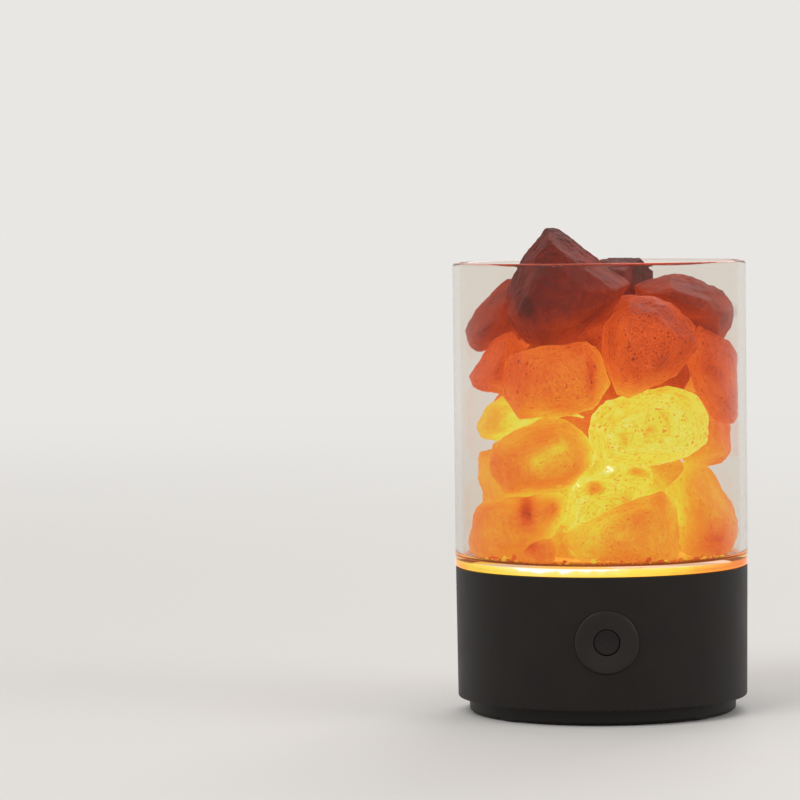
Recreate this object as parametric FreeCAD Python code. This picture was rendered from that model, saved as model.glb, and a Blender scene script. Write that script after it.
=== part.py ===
# Salt crystal lamp: a glass cup of loose salt stones on a black base that lights them from below.
# Millimetres, +Z up. The origin is the middle of the underside, where the lamp stands on the table.
# The front, with the power button, faces -Y. The power inlet is at the back, on +Y.

import FreeCAD, Part
import math
import os

V = FreeCAD.Vector
UP = V(0, 0, 1)
BACK = V(0, 1, 0)
FRONT = V(0, -1, 0)
ORIGIN = V(0, 0, 0)

# ---- driving dimensions -----------------------------------------------------------------------

# Glass cup
CUP_RADIUS = 40.0
CUP_HEIGHT = 83.0
CUP_WALL = 2.0
CUP_FLOOR = 2.6
CUP_CORNER = 0.7          # outer round where the wall meets the floor
CUP_INNER_CORNER = 1.6    # inner round at the floor

# Base shell, a drum that narrows downwards by its mould draft
SHELL_HEIGHT = 35.6
SHELL_DRAFT = 0.5         # degrees
SHELL_WALL = 3.0
SHELL_INSET = 0.1         # how far the drum's top edge stays inside the cup's wall
SHELL_EDGE = 0.5          # round of the lower outer edge
SHELL_TOP_EDGE = 0.3
DECK = 2.8

# Foot, the part of the bottom cover that shows under the drum
FOOT_HEIGHT = 4.3         # from the table to the drum's lower edge
FOOT_EDGE = 0.8
COVER_FIT = 0.1           # its wall inside the drum's
COVER_PLATE = 2.4
COVER_WALL = 1.8
COVER_OVERLAP = 3.2       # how far the cover's wall reaches up into the drum

# Rubber feet
PAD_RADIUS = 4.5
PAD_THICK = 1.0
PAD_PROUD = 0.4
PAD_INSET = 9.0           # a pad's middle inside the foot's outer face
PAD_COUNT = 4

# Bond between cup and deck
BOND_INSET = 5.5          # its outer edge inside the cup's outer face
BOND_WIDTH = 5.0
BOND_DEPTH = 0.8
BOND_LINE = 0.1           # the bond holds the cup this far off the deck

# Light window, reflector and LED board
WINDOW_INSET = 5.0        # its edge inside the bond
WINDOW_THICK = 1.6
WINDOW_LEDGE = 2.0
REFLECTOR_DEPTH = 6.0
REFLECTOR_WALL = 0.8
REFLECTOR_SPLAY = 2.2     # how much wider it is at the window than where it stands on the LED board
REFLECTOR_FLANGE = 2.8
LED_BOARD_MARGIN = 0.1    # the board past its bosses
BOARD_THICK = 1.6
LED_SIZE = 5.0
LED_HEIGHT = 1.5
LED_LENS_RADIUS = 1.9
LED_POOL = 0.4            # depth of the lens pool
LED_INSET = 6.0           # the ring of LEDs inside the reflector's flange
LED_RING_COUNT = 6
LED_BOSS_GAP = 0.4        # between a boss and the reflector's mouth
LED_BOSS_RADIUS = 2.1
LED_BOSS_COUNT = 3
LED_BOSS_TURN = 30.0      # degrees

# Cover screws and their bosses
COVER_POST_INSET = 3.5    # a post's axis inside the foot's outer face
COVER_BOSS_RADIUS = 3.0
COVER_WEB = 1.4           # thickness of the web between a boss and the wall
COVER_POST_RADIUS = 4.2
COVER_POST_HEIGHT = 5.2   # above the cover's plate
COVER_SCREW_COUNT = 4
COVER_SCREW_TURN = 45.0   # degrees
SCREW_SINK = 0.6          # the heads under the cover's face
SCREW_ROOM = 0.25         # heads and shanks in the holes that they pass through
PILOT_EXTRA = 0.6         # pilot holes past the screws' tips
COVER_SCREW = {"shank": 1.2, "length": 12.0, "head": 2.7, "head_height": 1.8}
LED_SCREW = {"shank": 0.9, "length": 6.0, "head": 1.9, "head_height": 1.2}
BOARD_SCREW = {"shank": 0.8, "length": 6.0, "head": 1.8, "head_height": 1.2}

# Control board
CONTROL_WIDTH = 28.0
CONTROL_LENGTH = 33.0
CONTROL_MARGIN = 0.8      # its rear corners inside the drum's wall
CONTROL_POST_HEIGHT = 6.7
CONTROL_POST_RADIUS = 2.2
CONTROL_HOLE_INSET = 3.2

# Power inlet, a round low-voltage socket with a 2 mm pin
INLET_WIDTH = 9.0
INLET_HEIGHT = 11.0
INLET_LENGTH = 14.0
INLET_OVERHANG = 2.0      # past the control board's rear edge
INLET_AXIS = 6.5          # above the board
INLET_NOZZLE_RADIUS = 4.0
INLET_BORE_RADIUS = 3.15
INLET_BORE_DEPTH = 9.5
INLET_PIN_RADIUS = 1.0
INLET_SETBACK = 1.0       # the nozzle's face behind the drum's face
INLET_ROOM = 0.4          # round the nozzle in the drum's hole
INLET_TAIL = 0.6          # the pin past the socket's rear

# Power button
BUTTON_HEIGHT = 22.7      # its axis above the table
BUTTON_RADIUS = 3.5
BUTTON_FLANGE_RADIUS = 4.7
BUTTON_FLANGE = 0.9
BUTTON_DISH = 0.25        # hollow of its face
BUTTON_SETBACK = 0.5      # its face behind the bezel's inner lip
BUTTON_STEM_RADIUS = 1.5
BUTTON_TRAVEL = 0.5
BEZEL_RADIUS = 8.5
BEZEL_PROUD = 0.45
BEZEL_DISH = 0.35
BEZEL_LAND = 0.9          # flat ring at its outer edge
BEZEL_EDGE = 0.4
BEZEL_SEAT = 0.35         # the seat's depth behind the drum's curve, at the bezel's edge
BEZEL_SPIGOT_RADIUS = 7.2
BEZEL_SHOULDER = 1.6      # thickness of the lip that holds the button in
BEZEL_REACH = 1.0         # the spigot past the wall's inner face

# Switch behind the button
SWITCH_SIZE = 6.0
SWITCH_DEPTH = 3.5
PLUNGER_RADIUS = 1.75
PLUNGER_PROUD = 0.9
PLUNGER_AHEAD = 0.8       # between the pressed plunger and the bezel
PLUNGER_BORE_DEPTH = 2.6
SWITCH_BOARD_WIDTH = 18.0
SWITCH_BOARD_HEIGHT = 14.5
SWITCH_BOARD_ABOVE = 5.5  # its top edge above the button's axis
GUIDE_WIDTH = 3.2
GUIDE_GRIP = 1.1          # how far a guide's slot takes the board's edge
GUIDE_WALL = 1.2          # above and behind the slot
PROP_WIDTH = 6.0          # post of the cover under the switch board

# Leads
LEAD_RADIUS = 0.65
LEAD_PITCH = 2.5
CONNECTOR = (6.0, 4.5, 5.0)
CONNECTOR_WALL = 0.7
CONNECTOR_POCKET = 1.5

# Fits
CLEARANCE = 0.1           # round pieces and boards in their seats
RUNNING = 0.08            # the button and the plunger in their bores
TOUCH = 0.05              # faces that meet
STONE_GAP = 0.25          # between stones, and between stones and glass
OVERSHOOT = 1.0           # cutting tools past what they cut
SUNK = 0.5                # fused pieces into each other

# ---- heights and radii that follow ------------------------------------------------------------

DECK_TOP = FOOT_HEIGHT + SHELL_HEIGHT
DECK_UNDER = DECK_TOP - DECK
CUP_BOTTOM = DECK_TOP + BOND_LINE
CUP_INSIDE = CUP_BOTTOM + CUP_FLOOR
CUP_BORE = CUP_RADIUS - CUP_WALL
CUP_DEPTH = CUP_HEIGHT - CUP_FLOOR
SHELL_TOP_RADIUS = CUP_RADIUS - SHELL_INSET


def shell_radius(z):
    """Outer radius of the drum at a height."""
    return SHELL_TOP_RADIUS - (DECK_TOP - z) * math.tan(math.radians(SHELL_DRAFT))


def shell_bore(z):
    """Inner radius of the drum at a height."""
    return shell_radius(z) - SHELL_WALL


FOOT_RADIUS = shell_bore(FOOT_HEIGHT) - COVER_FIT
PAD_CIRCLE = FOOT_RADIUS - PAD_INSET
COVER_BOSS_CIRCLE = FOOT_RADIUS - COVER_POST_INSET
PLATE_UNDER = PAD_PROUD
PLATE_TOP = PLATE_UNDER + COVER_PLATE
COVER_POST_TOP = PLATE_TOP + COVER_POST_HEIGHT
COVER_SCREW_SEAT = PLATE_UNDER + COVER_SCREW["head_height"] + SCREW_SINK

BOND_OUTER = CUP_RADIUS - BOND_INSET
BOND_INNER = BOND_OUTER - BOND_WIDTH
WINDOW_RADIUS = BOND_INNER - WINDOW_INSET
REFLECTOR_MOUTH = WINDOW_RADIUS - WINDOW_LEDGE
REFLECTOR_FOOT = REFLECTOR_MOUTH - REFLECTOR_SPLAY
LED_CIRCLE = REFLECTOR_FOOT - REFLECTOR_FLANGE - LED_INSET
LED_BOSS_CIRCLE = REFLECTOR_MOUTH + REFLECTOR_WALL / 2 + LED_BOSS_GAP + LED_BOSS_RADIUS
LED_BOARD_RADIUS = LED_BOSS_CIRCLE + LED_BOSS_RADIUS + LED_BOARD_MARGIN
LED_BOARD_TOP = DECK_UNDER - TOUCH - REFLECTOR_DEPTH
LED_BOARD_UNDER = LED_BOARD_TOP - BOARD_THICK

CONTROL_UNDER = PLATE_TOP + CONTROL_POST_HEIGHT
CONTROL_TOP = CONTROL_UNDER + BOARD_THICK
CONTROL_REAR = math.sqrt((shell_bore(CONTROL_UNDER) - CONTROL_MARGIN) ** 2 - (CONTROL_WIDTH / 2) ** 2)
CONTROL_FRONT = CONTROL_REAR - CONTROL_LENGTH
INLET_Z = CONTROL_TOP + INLET_AXIS
INLET_REAR = CONTROL_REAR + INLET_OVERHANG

BUTTON_DRUM_RADIUS = shell_radius(BUTTON_HEIGHT)
BEZEL_SEAT_Y = -(math.sqrt(BUTTON_DRUM_RADIUS ** 2 - BEZEL_RADIUS ** 2) - BEZEL_SEAT)
BEZEL_FACE_Y = -(BUTTON_DRUM_RADIUS + BEZEL_PROUD)
BEZEL_LIP_Y = BEZEL_FACE_Y + BEZEL_DISH
SHOULDER_Y = BEZEL_LIP_Y + BEZEL_SHOULDER
BEZEL_REAR_Y = BEZEL_REACH - shell_bore(BUTTON_HEIGHT)
FLANGE_Y = SHOULDER_Y + TOUCH
PLUNGER_FACE_Y = BEZEL_REAR_Y + BUTTON_TRAVEL + PLUNGER_AHEAD
SWITCH_FACE_Y = PLUNGER_FACE_Y + PLUNGER_PROUD
SWITCH_BOARD_Y = SWITCH_FACE_Y + SWITCH_DEPTH
SWITCH_BOARD_TOP = BUTTON_HEIGHT + SWITCH_BOARD_ABOVE
SWITCH_BOARD_BOTTOM = SWITCH_BOARD_TOP - SWITCH_BOARD_HEIGHT


# ---- small helpers ----------------------------------------------------------------------------

def revolved(points, base=ORIGIN, axis=UP):
    """Solid of revolution. Each point is (radius, place along the axis), about Z, then turned to the axis."""
    corners = [V(r, 0, z) for r, z in points]
    face = Part.Face(Part.makePolygon(corners + corners[:1]))
    solid = face.revolve(ORIGIN, UP, 360)
    solid.Placement = FreeCAD.Placement(base, FreeCAD.Rotation(UP, axis))
    return solid


def cylinder(radius, length, base=ORIGIN, axis=UP):
    return Part.makeCylinder(radius, length, base, axis)


def box(size, centre_bottom):
    """Box by its size, standing centred on a point."""
    sx, sy, sz = size
    return Part.makeBox(sx, sy, sz, centre_bottom - V(sx / 2, sy / 2, 0))


def on_circle(radius, count, start, z=0.0):
    """Points evenly spaced on a circle about the lamp's axis. The start angle is in degrees."""
    turns = [math.radians(start + 360.0 * k / count) for k in range(count)]
    return [V(radius * math.cos(t), radius * math.sin(t), z) for t in turns]


def circle_edges(solid, radius, z):
    """The solid's level round edges of one radius at one height."""
    found = []
    for edge in solid.Edges:
        curve = edge.Curve
        if isinstance(curve, Part.Circle) and abs(curve.Radius - radius) < 1e-4:
            if abs(edge.BoundBox.ZMin - z) < 1e-4 and abs(edge.BoundBox.ZMax - z) < 1e-4:
                found.append(edge)
    return found


def fused(first, others):
    return first.multiFuse(others).removeSplitter()


def group(solids):
    return Part.makeCompound(solids)


def pan_screw(size, seat, axis):
    """Pan-head screw. Its head's underside is at the seat and its shank points along the axis."""
    head = revolved(
        [(0, 0), (size["head"], 0), (size["head"], -size["head_height"] * 0.45),
         (size["head"] * 0.75, -size["head_height"]), (0, -size["head_height"])])
    tip = size["shank"] * 0.5
    shank = revolved(
        [(0, 0), (size["shank"], 0), (size["shank"], size["length"] - tip),
         (size["shank"] - tip, size["length"]), (0, size["length"])])
    slot = box((size["head"] * 1.2, size["head"] * 0.24, size["head_height"]),
               V(0, 0, -size["head_height"] * 1.6))
    cross = slot.copy()
    cross.rotate(ORIGIN, UP, 90)
    screw = fused(head, [shank]).cut(slot).cut(cross)
    screw.Placement = FreeCAD.Placement(seat, FreeCAD.Rotation(UP, axis))
    return screw


def lead(points):
    """Insulated lead: straight runs joined by tangent arcs, each as large as its two runs allow."""
    edges = []
    start = points[0]
    for before, corner, after in zip(points, points[1:], points[2:]):
        run_in = (corner - before).normalize()
        run_out = (after - corner).normalize()
        setback = 0.45 * min(corner.distanceToPoint(before), corner.distanceToPoint(after))
        enter = corner - run_in * setback
        leave = corner + run_out * setback
        half_turn = run_in.getAngle(run_out) / 2
        radius = setback / math.tan(half_turn)
        inward = (run_out - run_in).normalize()
        middle = corner + inward * (radius / math.cos(half_turn) - radius)
        edges.append(Part.LineSegment(start, enter).toShape())
        edges.append(Part.Arc(enter, middle, leave).toShape())
        start = leave
    edges.append(Part.LineSegment(start, points[-1]).toShape())
    path = Part.Wire(edges)
    circle = Part.makeCircle(LEAD_RADIUS, points[0], points[1] - points[0])
    return path.makePipeShell([Part.Wire([circle])], True, False)


# ---- glass cup and its bond -------------------------------------------------------------------

def glass_cup():
    """Cup turned from one profile, with a rounded rim and rounded corners at the floor."""
    top = CUP_BOTTOM + CUP_HEIGHT
    cup = revolved(
        [(0, CUP_BOTTOM), (CUP_RADIUS, CUP_BOTTOM), (CUP_RADIUS, top),
         (CUP_BORE, top), (CUP_BORE, CUP_INSIDE), (0, CUP_INSIDE)])
    rim = circle_edges(cup, CUP_RADIUS, top) + circle_edges(cup, CUP_BORE, top)
    cup = cup.makeFillet(CUP_WALL * 0.47, rim)
    cup = cup.makeFillet(CUP_CORNER, circle_edges(cup, CUP_RADIUS, CUP_BOTTOM))
    return cup.makeFillet(CUP_INNER_CORNER, circle_edges(cup, CUP_BORE, CUP_INSIDE))


def cup_bond():
    """Ring of clear sealant in the deck's groove, on which the cup stands."""
    low = DECK_TOP - BOND_DEPTH
    inner = BOND_INNER + TOUCH
    outer = BOND_OUTER - TOUCH
    return revolved([(inner, low), (outer, low), (outer, CUP_BOTTOM), (inner, CUP_BOTTOM)])


# ---- base shell -------------------------------------------------------------------------------

def drum():
    """The drum's outer wall and deck, with the window's ledge, the bond's groove and edge rounds."""
    low = FOOT_HEIGHT
    low_radius = shell_radius(low)
    solid = revolved([(0, low), (low_radius, low), (SHELL_TOP_RADIUS, DECK_TOP), (0, DECK_TOP)])
    solid = solid.makeFillet(SHELL_EDGE, circle_edges(solid, low_radius, low))
    solid = solid.makeFillet(SHELL_TOP_EDGE, circle_edges(solid, SHELL_TOP_RADIUS, DECK_TOP))
    start = low - OVERSHOOT
    hollow = revolved(
        [(0, start), (shell_bore(start), start), (shell_bore(DECK_UNDER), DECK_UNDER), (0, DECK_UNDER)])
    recess = cylinder(WINDOW_RADIUS + CLEARANCE, WINDOW_THICK + OVERSHOOT, V(0, 0, DECK_TOP - WINDOW_THICK))
    opening = cylinder(REFLECTOR_MOUTH, DECK + 2 * OVERSHOOT, V(0, 0, DECK_UNDER - OVERSHOOT))
    groove = revolved(
        [(BOND_INNER, DECK_TOP - BOND_DEPTH), (BOND_OUTER, DECK_TOP - BOND_DEPTH),
         (BOND_OUTER, DECK_TOP + OVERSHOOT), (BOND_INNER, DECK_TOP + OVERSHOOT)])
    return solid.cut(hollow).cut(recess).cut(opening).cut(groove)


def cover_screw_places(z):
    return on_circle(COVER_BOSS_CIRCLE, COVER_SCREW_COUNT, COVER_SCREW_TURN, z)


def led_screw_places(z):
    return on_circle(LED_BOSS_CIRCLE, LED_BOSS_COUNT, LED_BOSS_TURN, z)


def cover_bosses():
    """Bosses that hang from the deck for the cover's screws, each tied to the wall by a web."""
    solids = []
    low = COVER_POST_TOP + TOUCH
    length = DECK_UNDER - low + SUNK
    for place in cover_screw_places(low):
        solids.append(cylinder(COVER_BOSS_RADIUS, length, place))
        reach = shell_bore(low) + SUNK - COVER_BOSS_CIRCLE
        web = Part.makeBox(reach, COVER_WEB, length, V(0, -COVER_WEB / 2, 0))
        turn = math.degrees(math.atan2(place.y, place.x))
        web.Placement = FreeCAD.Placement(place, FreeCAD.Rotation(UP, turn))
        solids.append(web)
    return solids


def led_bosses():
    places = led_screw_places(LED_BOARD_TOP + TOUCH)
    return [cylinder(LED_BOSS_RADIUS, DECK_UNDER - LED_BOARD_TOP, place) for place in places]


def switch_guides():
    """Two slotted guides on the front wall that take the switch board's side edges from below."""
    solids = []
    wall_y = -(shell_bore(SWITCH_BOARD_BOTTOM) + SUNK)
    rear_y = SWITCH_BOARD_Y + BOARD_THICK + CLEARANCE + GUIDE_WALL
    top = SWITCH_BOARD_TOP + CLEARANCE + GUIDE_WALL
    for side in (-1, 1):
        centre = side * (SWITCH_BOARD_WIDTH / 2 - GUIDE_GRIP + GUIDE_WIDTH / 2)
        front_y = -math.sqrt(wall_y ** 2 - centre ** 2)
        size = (GUIDE_WIDTH, rear_y - front_y, top - SWITCH_BOARD_BOTTOM)
        guide = box(size, V(centre, (front_y + rear_y) / 2, SWITCH_BOARD_BOTTOM))
        solids.append(guide.cut(switch_board_blank(CLEARANCE)))
    return solids


def switch_board_blank(margin=0.0):
    """The switch board's outline, larger all round by a margin."""
    size = (SWITCH_BOARD_WIDTH + 2 * margin, BOARD_THICK + 2 * margin, SWITCH_BOARD_HEIGHT + 2 * margin)
    return box(size, V(0, SWITCH_BOARD_Y + BOARD_THICK / 2, SWITCH_BOARD_BOTTOM - margin))


def base_shell():
    shell = fused(drum(), cover_bosses() + led_bosses() + switch_guides())
    pilot = COVER_SCREW_SEAT + COVER_SCREW["length"] + PILOT_EXTRA - PLATE_TOP
    for place in cover_screw_places(PLATE_TOP):
        shell = shell.cut(cylinder(COVER_SCREW["shank"] + TOUCH, pilot, place))
    pilot = LED_SCREW["length"] + PILOT_EXTRA
    for place in led_screw_places(LED_BOARD_UNDER):
        shell = shell.cut(cylinder(LED_SCREW["shank"] + TOUCH, pilot, place))
    seat_point = V(0, BEZEL_SEAT_Y, BUTTON_HEIGHT)
    seat_depth = CUP_RADIUS + BEZEL_SEAT_Y + OVERSHOOT
    seat = cylinder(BEZEL_RADIUS + CLEARANCE, seat_depth, seat_point, FRONT)
    hole_depth = BEZEL_REAR_Y - BEZEL_SEAT_Y + 2 * OVERSHOOT
    hole = cylinder(BEZEL_SPIGOT_RADIUS + CLEARANCE, hole_depth, seat_point + FRONT * OVERSHOOT, BACK)
    inlet_depth = CUP_RADIUS - INLET_REAR + OVERSHOOT
    inlet = cylinder(INLET_NOZZLE_RADIUS + INLET_ROOM, inlet_depth, V(0, INLET_REAR, INLET_Z), BACK)
    return shell.cut(seat).cut(hole).cut(inlet)


# ---- bottom cover, feet and screws ------------------------------------------------------------

def bottom_cover():
    """Dish that closes the drum, with screw posts, board posts and pockets for the feet."""
    rim = FOOT_HEIGHT + COVER_OVERLAP
    inner = FOOT_RADIUS - COVER_WALL
    dish = revolved(
        [(0, PLATE_UNDER), (FOOT_RADIUS, PLATE_UNDER), (FOOT_RADIUS, rim),
         (inner, rim), (inner, PLATE_TOP), (0, PLATE_TOP)])
    dish = dish.makeFillet(FOOT_EDGE, circle_edges(dish, FOOT_RADIUS, PLATE_UNDER))
    posts = [cylinder(COVER_POST_RADIUS, COVER_POST_TOP - PLATE_UNDER, place)
             for place in cover_screw_places(PLATE_UNDER)]
    posts += [cylinder(CONTROL_POST_RADIUS, CONTROL_UNDER - PLATE_UNDER, place)
              for place in control_holes(PLATE_UNDER)]
    prop_height = SWITCH_BOARD_BOTTOM - CLEARANCE - PLATE_UNDER
    posts.append(box((PROP_WIDTH, 2 * BOARD_THICK, prop_height),
                     V(0, SWITCH_BOARD_Y + BOARD_THICK / 2, PLATE_UNDER)))
    outline = cylinder(FOOT_RADIUS, prop_height + CONTROL_UNDER, V(0, 0, PLATE_UNDER))
    trimmed = [post.common(outline) for post in posts]
    dish = fused(dish, trimmed)
    for place in cover_screw_places(PLATE_UNDER):
        dish = dish.cut(cylinder(COVER_SCREW["head"] + SCREW_ROOM, COVER_SCREW_SEAT - PLATE_UNDER, place))
        dish = dish.cut(cylinder(COVER_SCREW["shank"] + SCREW_ROOM, COVER_POST_TOP, place))
    pilot = BOARD_SCREW["length"] - BOARD_THICK + PILOT_EXTRA
    for place in control_holes(CONTROL_UNDER - pilot):
        dish = dish.cut(cylinder(BOARD_SCREW["shank"] + TOUCH, pilot + OVERSHOOT, place))
    for place in on_circle(PAD_CIRCLE, PAD_COUNT, 0):
        dish = dish.cut(cylinder(PAD_RADIUS + CLEARANCE, PAD_THICK, place))
    return dish


def rubber_feet():
    chamfer = 0.3
    foot = [(0, 0), (PAD_RADIUS - chamfer, 0), (PAD_RADIUS, chamfer),
            (PAD_RADIUS, PAD_THICK), (0, PAD_THICK)]
    return group([revolved(foot, place) for place in on_circle(PAD_CIRCLE, PAD_COUNT, 0)])


def cover_screws():
    return group([pan_screw(COVER_SCREW, place, UP) for place in cover_screw_places(COVER_SCREW_SEAT)])


# ---- window, reflector and LED board ----------------------------------------------------------

def light_window():
    return cylinder(WINDOW_RADIUS, WINDOW_THICK, V(0, 0, DECK_TOP - WINDOW_THICK))


def reflector():
    """White cone that widens from the LED board to the window, on an inward foot flange."""
    low = LED_BOARD_TOP
    top = low + REFLECTOR_DEPTH
    return revolved(
        [(REFLECTOR_FOOT - REFLECTOR_FLANGE, low), (REFLECTOR_FOOT, low),
         (REFLECTOR_MOUTH + REFLECTOR_WALL / 2, top), (REFLECTOR_MOUTH - REFLECTOR_WALL / 2, top),
         (REFLECTOR_FOOT - REFLECTOR_WALL, low + REFLECTOR_WALL),
         (REFLECTOR_FOOT - REFLECTOR_FLANGE, low + REFLECTOR_WALL)])


def led_board():
    board = cylinder(LED_BOARD_RADIUS, BOARD_THICK, V(0, 0, LED_BOARD_UNDER))
    for place in led_screw_places(LED_BOARD_UNDER - OVERSHOOT):
        board = board.cut(cylinder(LED_SCREW["shank"] + SCREW_ROOM, BOARD_THICK + 2 * OVERSHOOT, place))
    return board


def leds():
    """Square LED packages, each with a round lens pool in its top."""
    places = [V(0, 0, LED_BOARD_TOP)] + on_circle(LED_CIRCLE, LED_RING_COUNT, 0, LED_BOARD_TOP)
    solids = []
    for place in places:
        package = box((LED_SIZE, LED_SIZE, LED_HEIGHT), place)
        pool = Part.makeCone(LED_LENS_RADIUS - LED_POOL, LED_LENS_RADIUS, LED_POOL,
                             place + V(0, 0, LED_HEIGHT - LED_POOL))
        solids.append(package.cut(pool))
    return group(solids)


def led_screws():
    return group([pan_screw(LED_SCREW, place, UP) for place in led_screw_places(LED_BOARD_UNDER)])


# ---- control board ----------------------------------------------------------------------------

def control_holes(z):
    """The control board's four screw places."""
    across = CONTROL_WIDTH / 2 - CONTROL_HOLE_INSET
    rows = (CONTROL_FRONT + CONTROL_HOLE_INSET, CONTROL_REAR - CONTROL_HOLE_INSET)
    return [V(x, y, z) for x in (-across, across) for y in rows]


def control_board():
    size = (CONTROL_WIDTH, CONTROL_LENGTH, BOARD_THICK)
    board = box(size, V(0, CONTROL_FRONT + CONTROL_LENGTH / 2, CONTROL_UNDER))
    for place in control_holes(CONTROL_UNDER - OVERSHOOT):
        board = board.cut(cylinder(BOARD_SCREW["shank"] + SCREW_ROOM, BOARD_THICK + 2 * OVERSHOOT, place))
    return board


def board_screws():
    return group([pan_screw(BOARD_SCREW, place, -UP) for place in control_holes(CONTROL_TOP)])


def board_components():
    """Controller chip, two drivers, a smoothing capacitor and small resistors on the control board."""
    top = CONTROL_TOP
    solids = [box((4.0, 5.0, 1.6), V(0, CONTROL_FRONT + 11.0, top))]
    solids += [box((3.0, 1.6, 1.1), V(x, CONTROL_FRONT + 16.5, top)) for x in (-3.0, 3.0)]
    solids += [box((1.2, 2.0, 0.6), V(-7.0 + 2.2 * k, CONTROL_FRONT + 14.0, top)) for k in (0, 1)]
    can = revolved([(0, 0), (2.5, 0), (2.5, 0.7), (2.3, 0.9), (2.5, 1.1), (2.5, 6.6), (2.2, 7.0), (0, 7.0)],
                   V(9.5, CONTROL_FRONT + 15.5, top))
    return group(solids + [can])


def connector_places():
    """Where the two wire connectors stand: the LED leads' on the left, the switch leads' on the right."""
    y = CONTROL_FRONT + 5.0
    return V(-5.5, y, CONTROL_TOP), V(5.5, y, CONTROL_TOP)


def wire_connectors():
    """White two-pole headers, each with a pocket that takes its leads' housing."""
    solids = []
    for place in connector_places():
        header = box(CONNECTOR, place)
        size = (CONNECTOR[0] - 2 * CONNECTOR_WALL, CONNECTOR[1] - 2 * CONNECTOR_WALL, CONNECTOR[2])
        pocket = box(size, place + V(0, 0, CONNECTOR[2] - CONNECTOR_POCKET))
        solids.append(header.cut(pocket))
    return group(solids)


def lead_pair(route):
    """Two leads side by side along one route of points."""
    half = V(LEAD_PITCH / 2, 0, 0)
    return group([lead([point + offset for point in route]) for offset in (-half, half)])


def led_leads():
    start = connector_places()[0] + V(0, 0, CONNECTOR[2] - CONNECTOR_POCKET)
    end = V(start.x, start.y + 6.0, LED_BOARD_UNDER)
    rise = (end.z - start.z) * 0.42
    return lead_pair([start, start + V(0, 0, rise), end - V(0, 0, rise), end])


def switch_leads():
    start = connector_places()[1] + V(0, 0, CONNECTOR[2] - CONNECTOR_POCKET)
    end = V(2.0, SWITCH_BOARD_Y + BOARD_THICK, SWITCH_BOARD_BOTTOM + 4.0)
    over = (start.z + LED_BOARD_UNDER) / 2
    return lead_pair([start, V(start.x, start.y, over), V(3.5, start.y - 12.0, over),
                      V(end.x, end.y + 9.0, end.z), end])


# ---- power inlet ------------------------------------------------------------------------------

def power_inlet():
    """Moulded socket on the control board. Its nozzle fills the hole in the drum's back wall."""
    body = box((INLET_WIDTH, INLET_LENGTH, INLET_HEIGHT), V(0, INLET_REAR - INLET_LENGTH / 2, CONTROL_TOP))
    face_y = shell_radius(INLET_Z) - INLET_SETBACK
    nozzle = cylinder(INLET_NOZZLE_RADIUS, face_y - INLET_REAR, V(0, INLET_REAR, INLET_Z), BACK)
    bore = cylinder(INLET_BORE_RADIUS, INLET_BORE_DEPTH, V(0, face_y, INLET_Z), FRONT)
    pin_hole = cylinder(INLET_PIN_RADIUS, INLET_LENGTH * 2, V(0, face_y, INLET_Z), FRONT)
    return fused(body, [nozzle]).cut(bore).cut(pin_hole)


def inlet_pin():
    """Centre contact with a domed tip, through to its tail at the socket's rear."""
    tail_y = INLET_REAR - INLET_LENGTH - INLET_TAIL
    length = shell_radius(INLET_Z) - INLET_SETBACK - INLET_TAIL - tail_y
    tip = INLET_PIN_RADIUS / 2
    pin = [(0, 0), (INLET_PIN_RADIUS, 0), (INLET_PIN_RADIUS, length - tip),
           (INLET_PIN_RADIUS - tip, length), (0, length)]
    return revolved(pin, V(0, tail_y, INLET_Z), BACK)


# ---- button and switch ------------------------------------------------------------------------

def button_bezel():
    """Dished ring on the drum's front, turned about the button's axis, with a spigot and an inner lip."""
    bore = BUTTON_RADIUS + RUNNING
    flange_bore = BUTTON_FLANGE_RADIUS + RUNNING
    points = [
        (bore, BEZEL_LIP_Y), (BEZEL_RADIUS - BEZEL_LAND - BEZEL_EDGE, BEZEL_FACE_Y),
        (BEZEL_RADIUS - BEZEL_EDGE, BEZEL_FACE_Y), (BEZEL_RADIUS, BEZEL_FACE_Y + BEZEL_EDGE),
        (BEZEL_RADIUS, BEZEL_SEAT_Y), (BEZEL_SPIGOT_RADIUS, BEZEL_SEAT_Y),
        (BEZEL_SPIGOT_RADIUS, BEZEL_REAR_Y), (flange_bore, BEZEL_REAR_Y),
        (flange_bore, SHOULDER_Y), (bore, SHOULDER_Y)]
    return revolved(points, V(0, 0, BUTTON_HEIGHT), BACK)


def push_button():
    """Cap with a hollowed face, a flange that the bezel's lip holds in, and a stem to the switch."""
    face_y = BEZEL_LIP_Y + BUTTON_SETBACK
    rear_y = FLANGE_Y + BUTTON_FLANGE
    points = [
        (0, face_y + BUTTON_DISH), (BUTTON_RADIUS * 0.45, face_y + BUTTON_DISH * 0.8),
        (BUTTON_RADIUS * 0.85, face_y), (BUTTON_RADIUS - 0.2, face_y),
        (BUTTON_RADIUS, face_y + 0.2), (BUTTON_RADIUS, FLANGE_Y),
        (BUTTON_FLANGE_RADIUS, FLANGE_Y), (BUTTON_FLANGE_RADIUS, rear_y),
        (BUTTON_STEM_RADIUS, rear_y), (BUTTON_STEM_RADIUS, PLUNGER_FACE_Y - TOUCH),
        (0, PLUNGER_FACE_Y - TOUCH)]
    return revolved(points, V(0, 0, BUTTON_HEIGHT), BACK)


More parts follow.
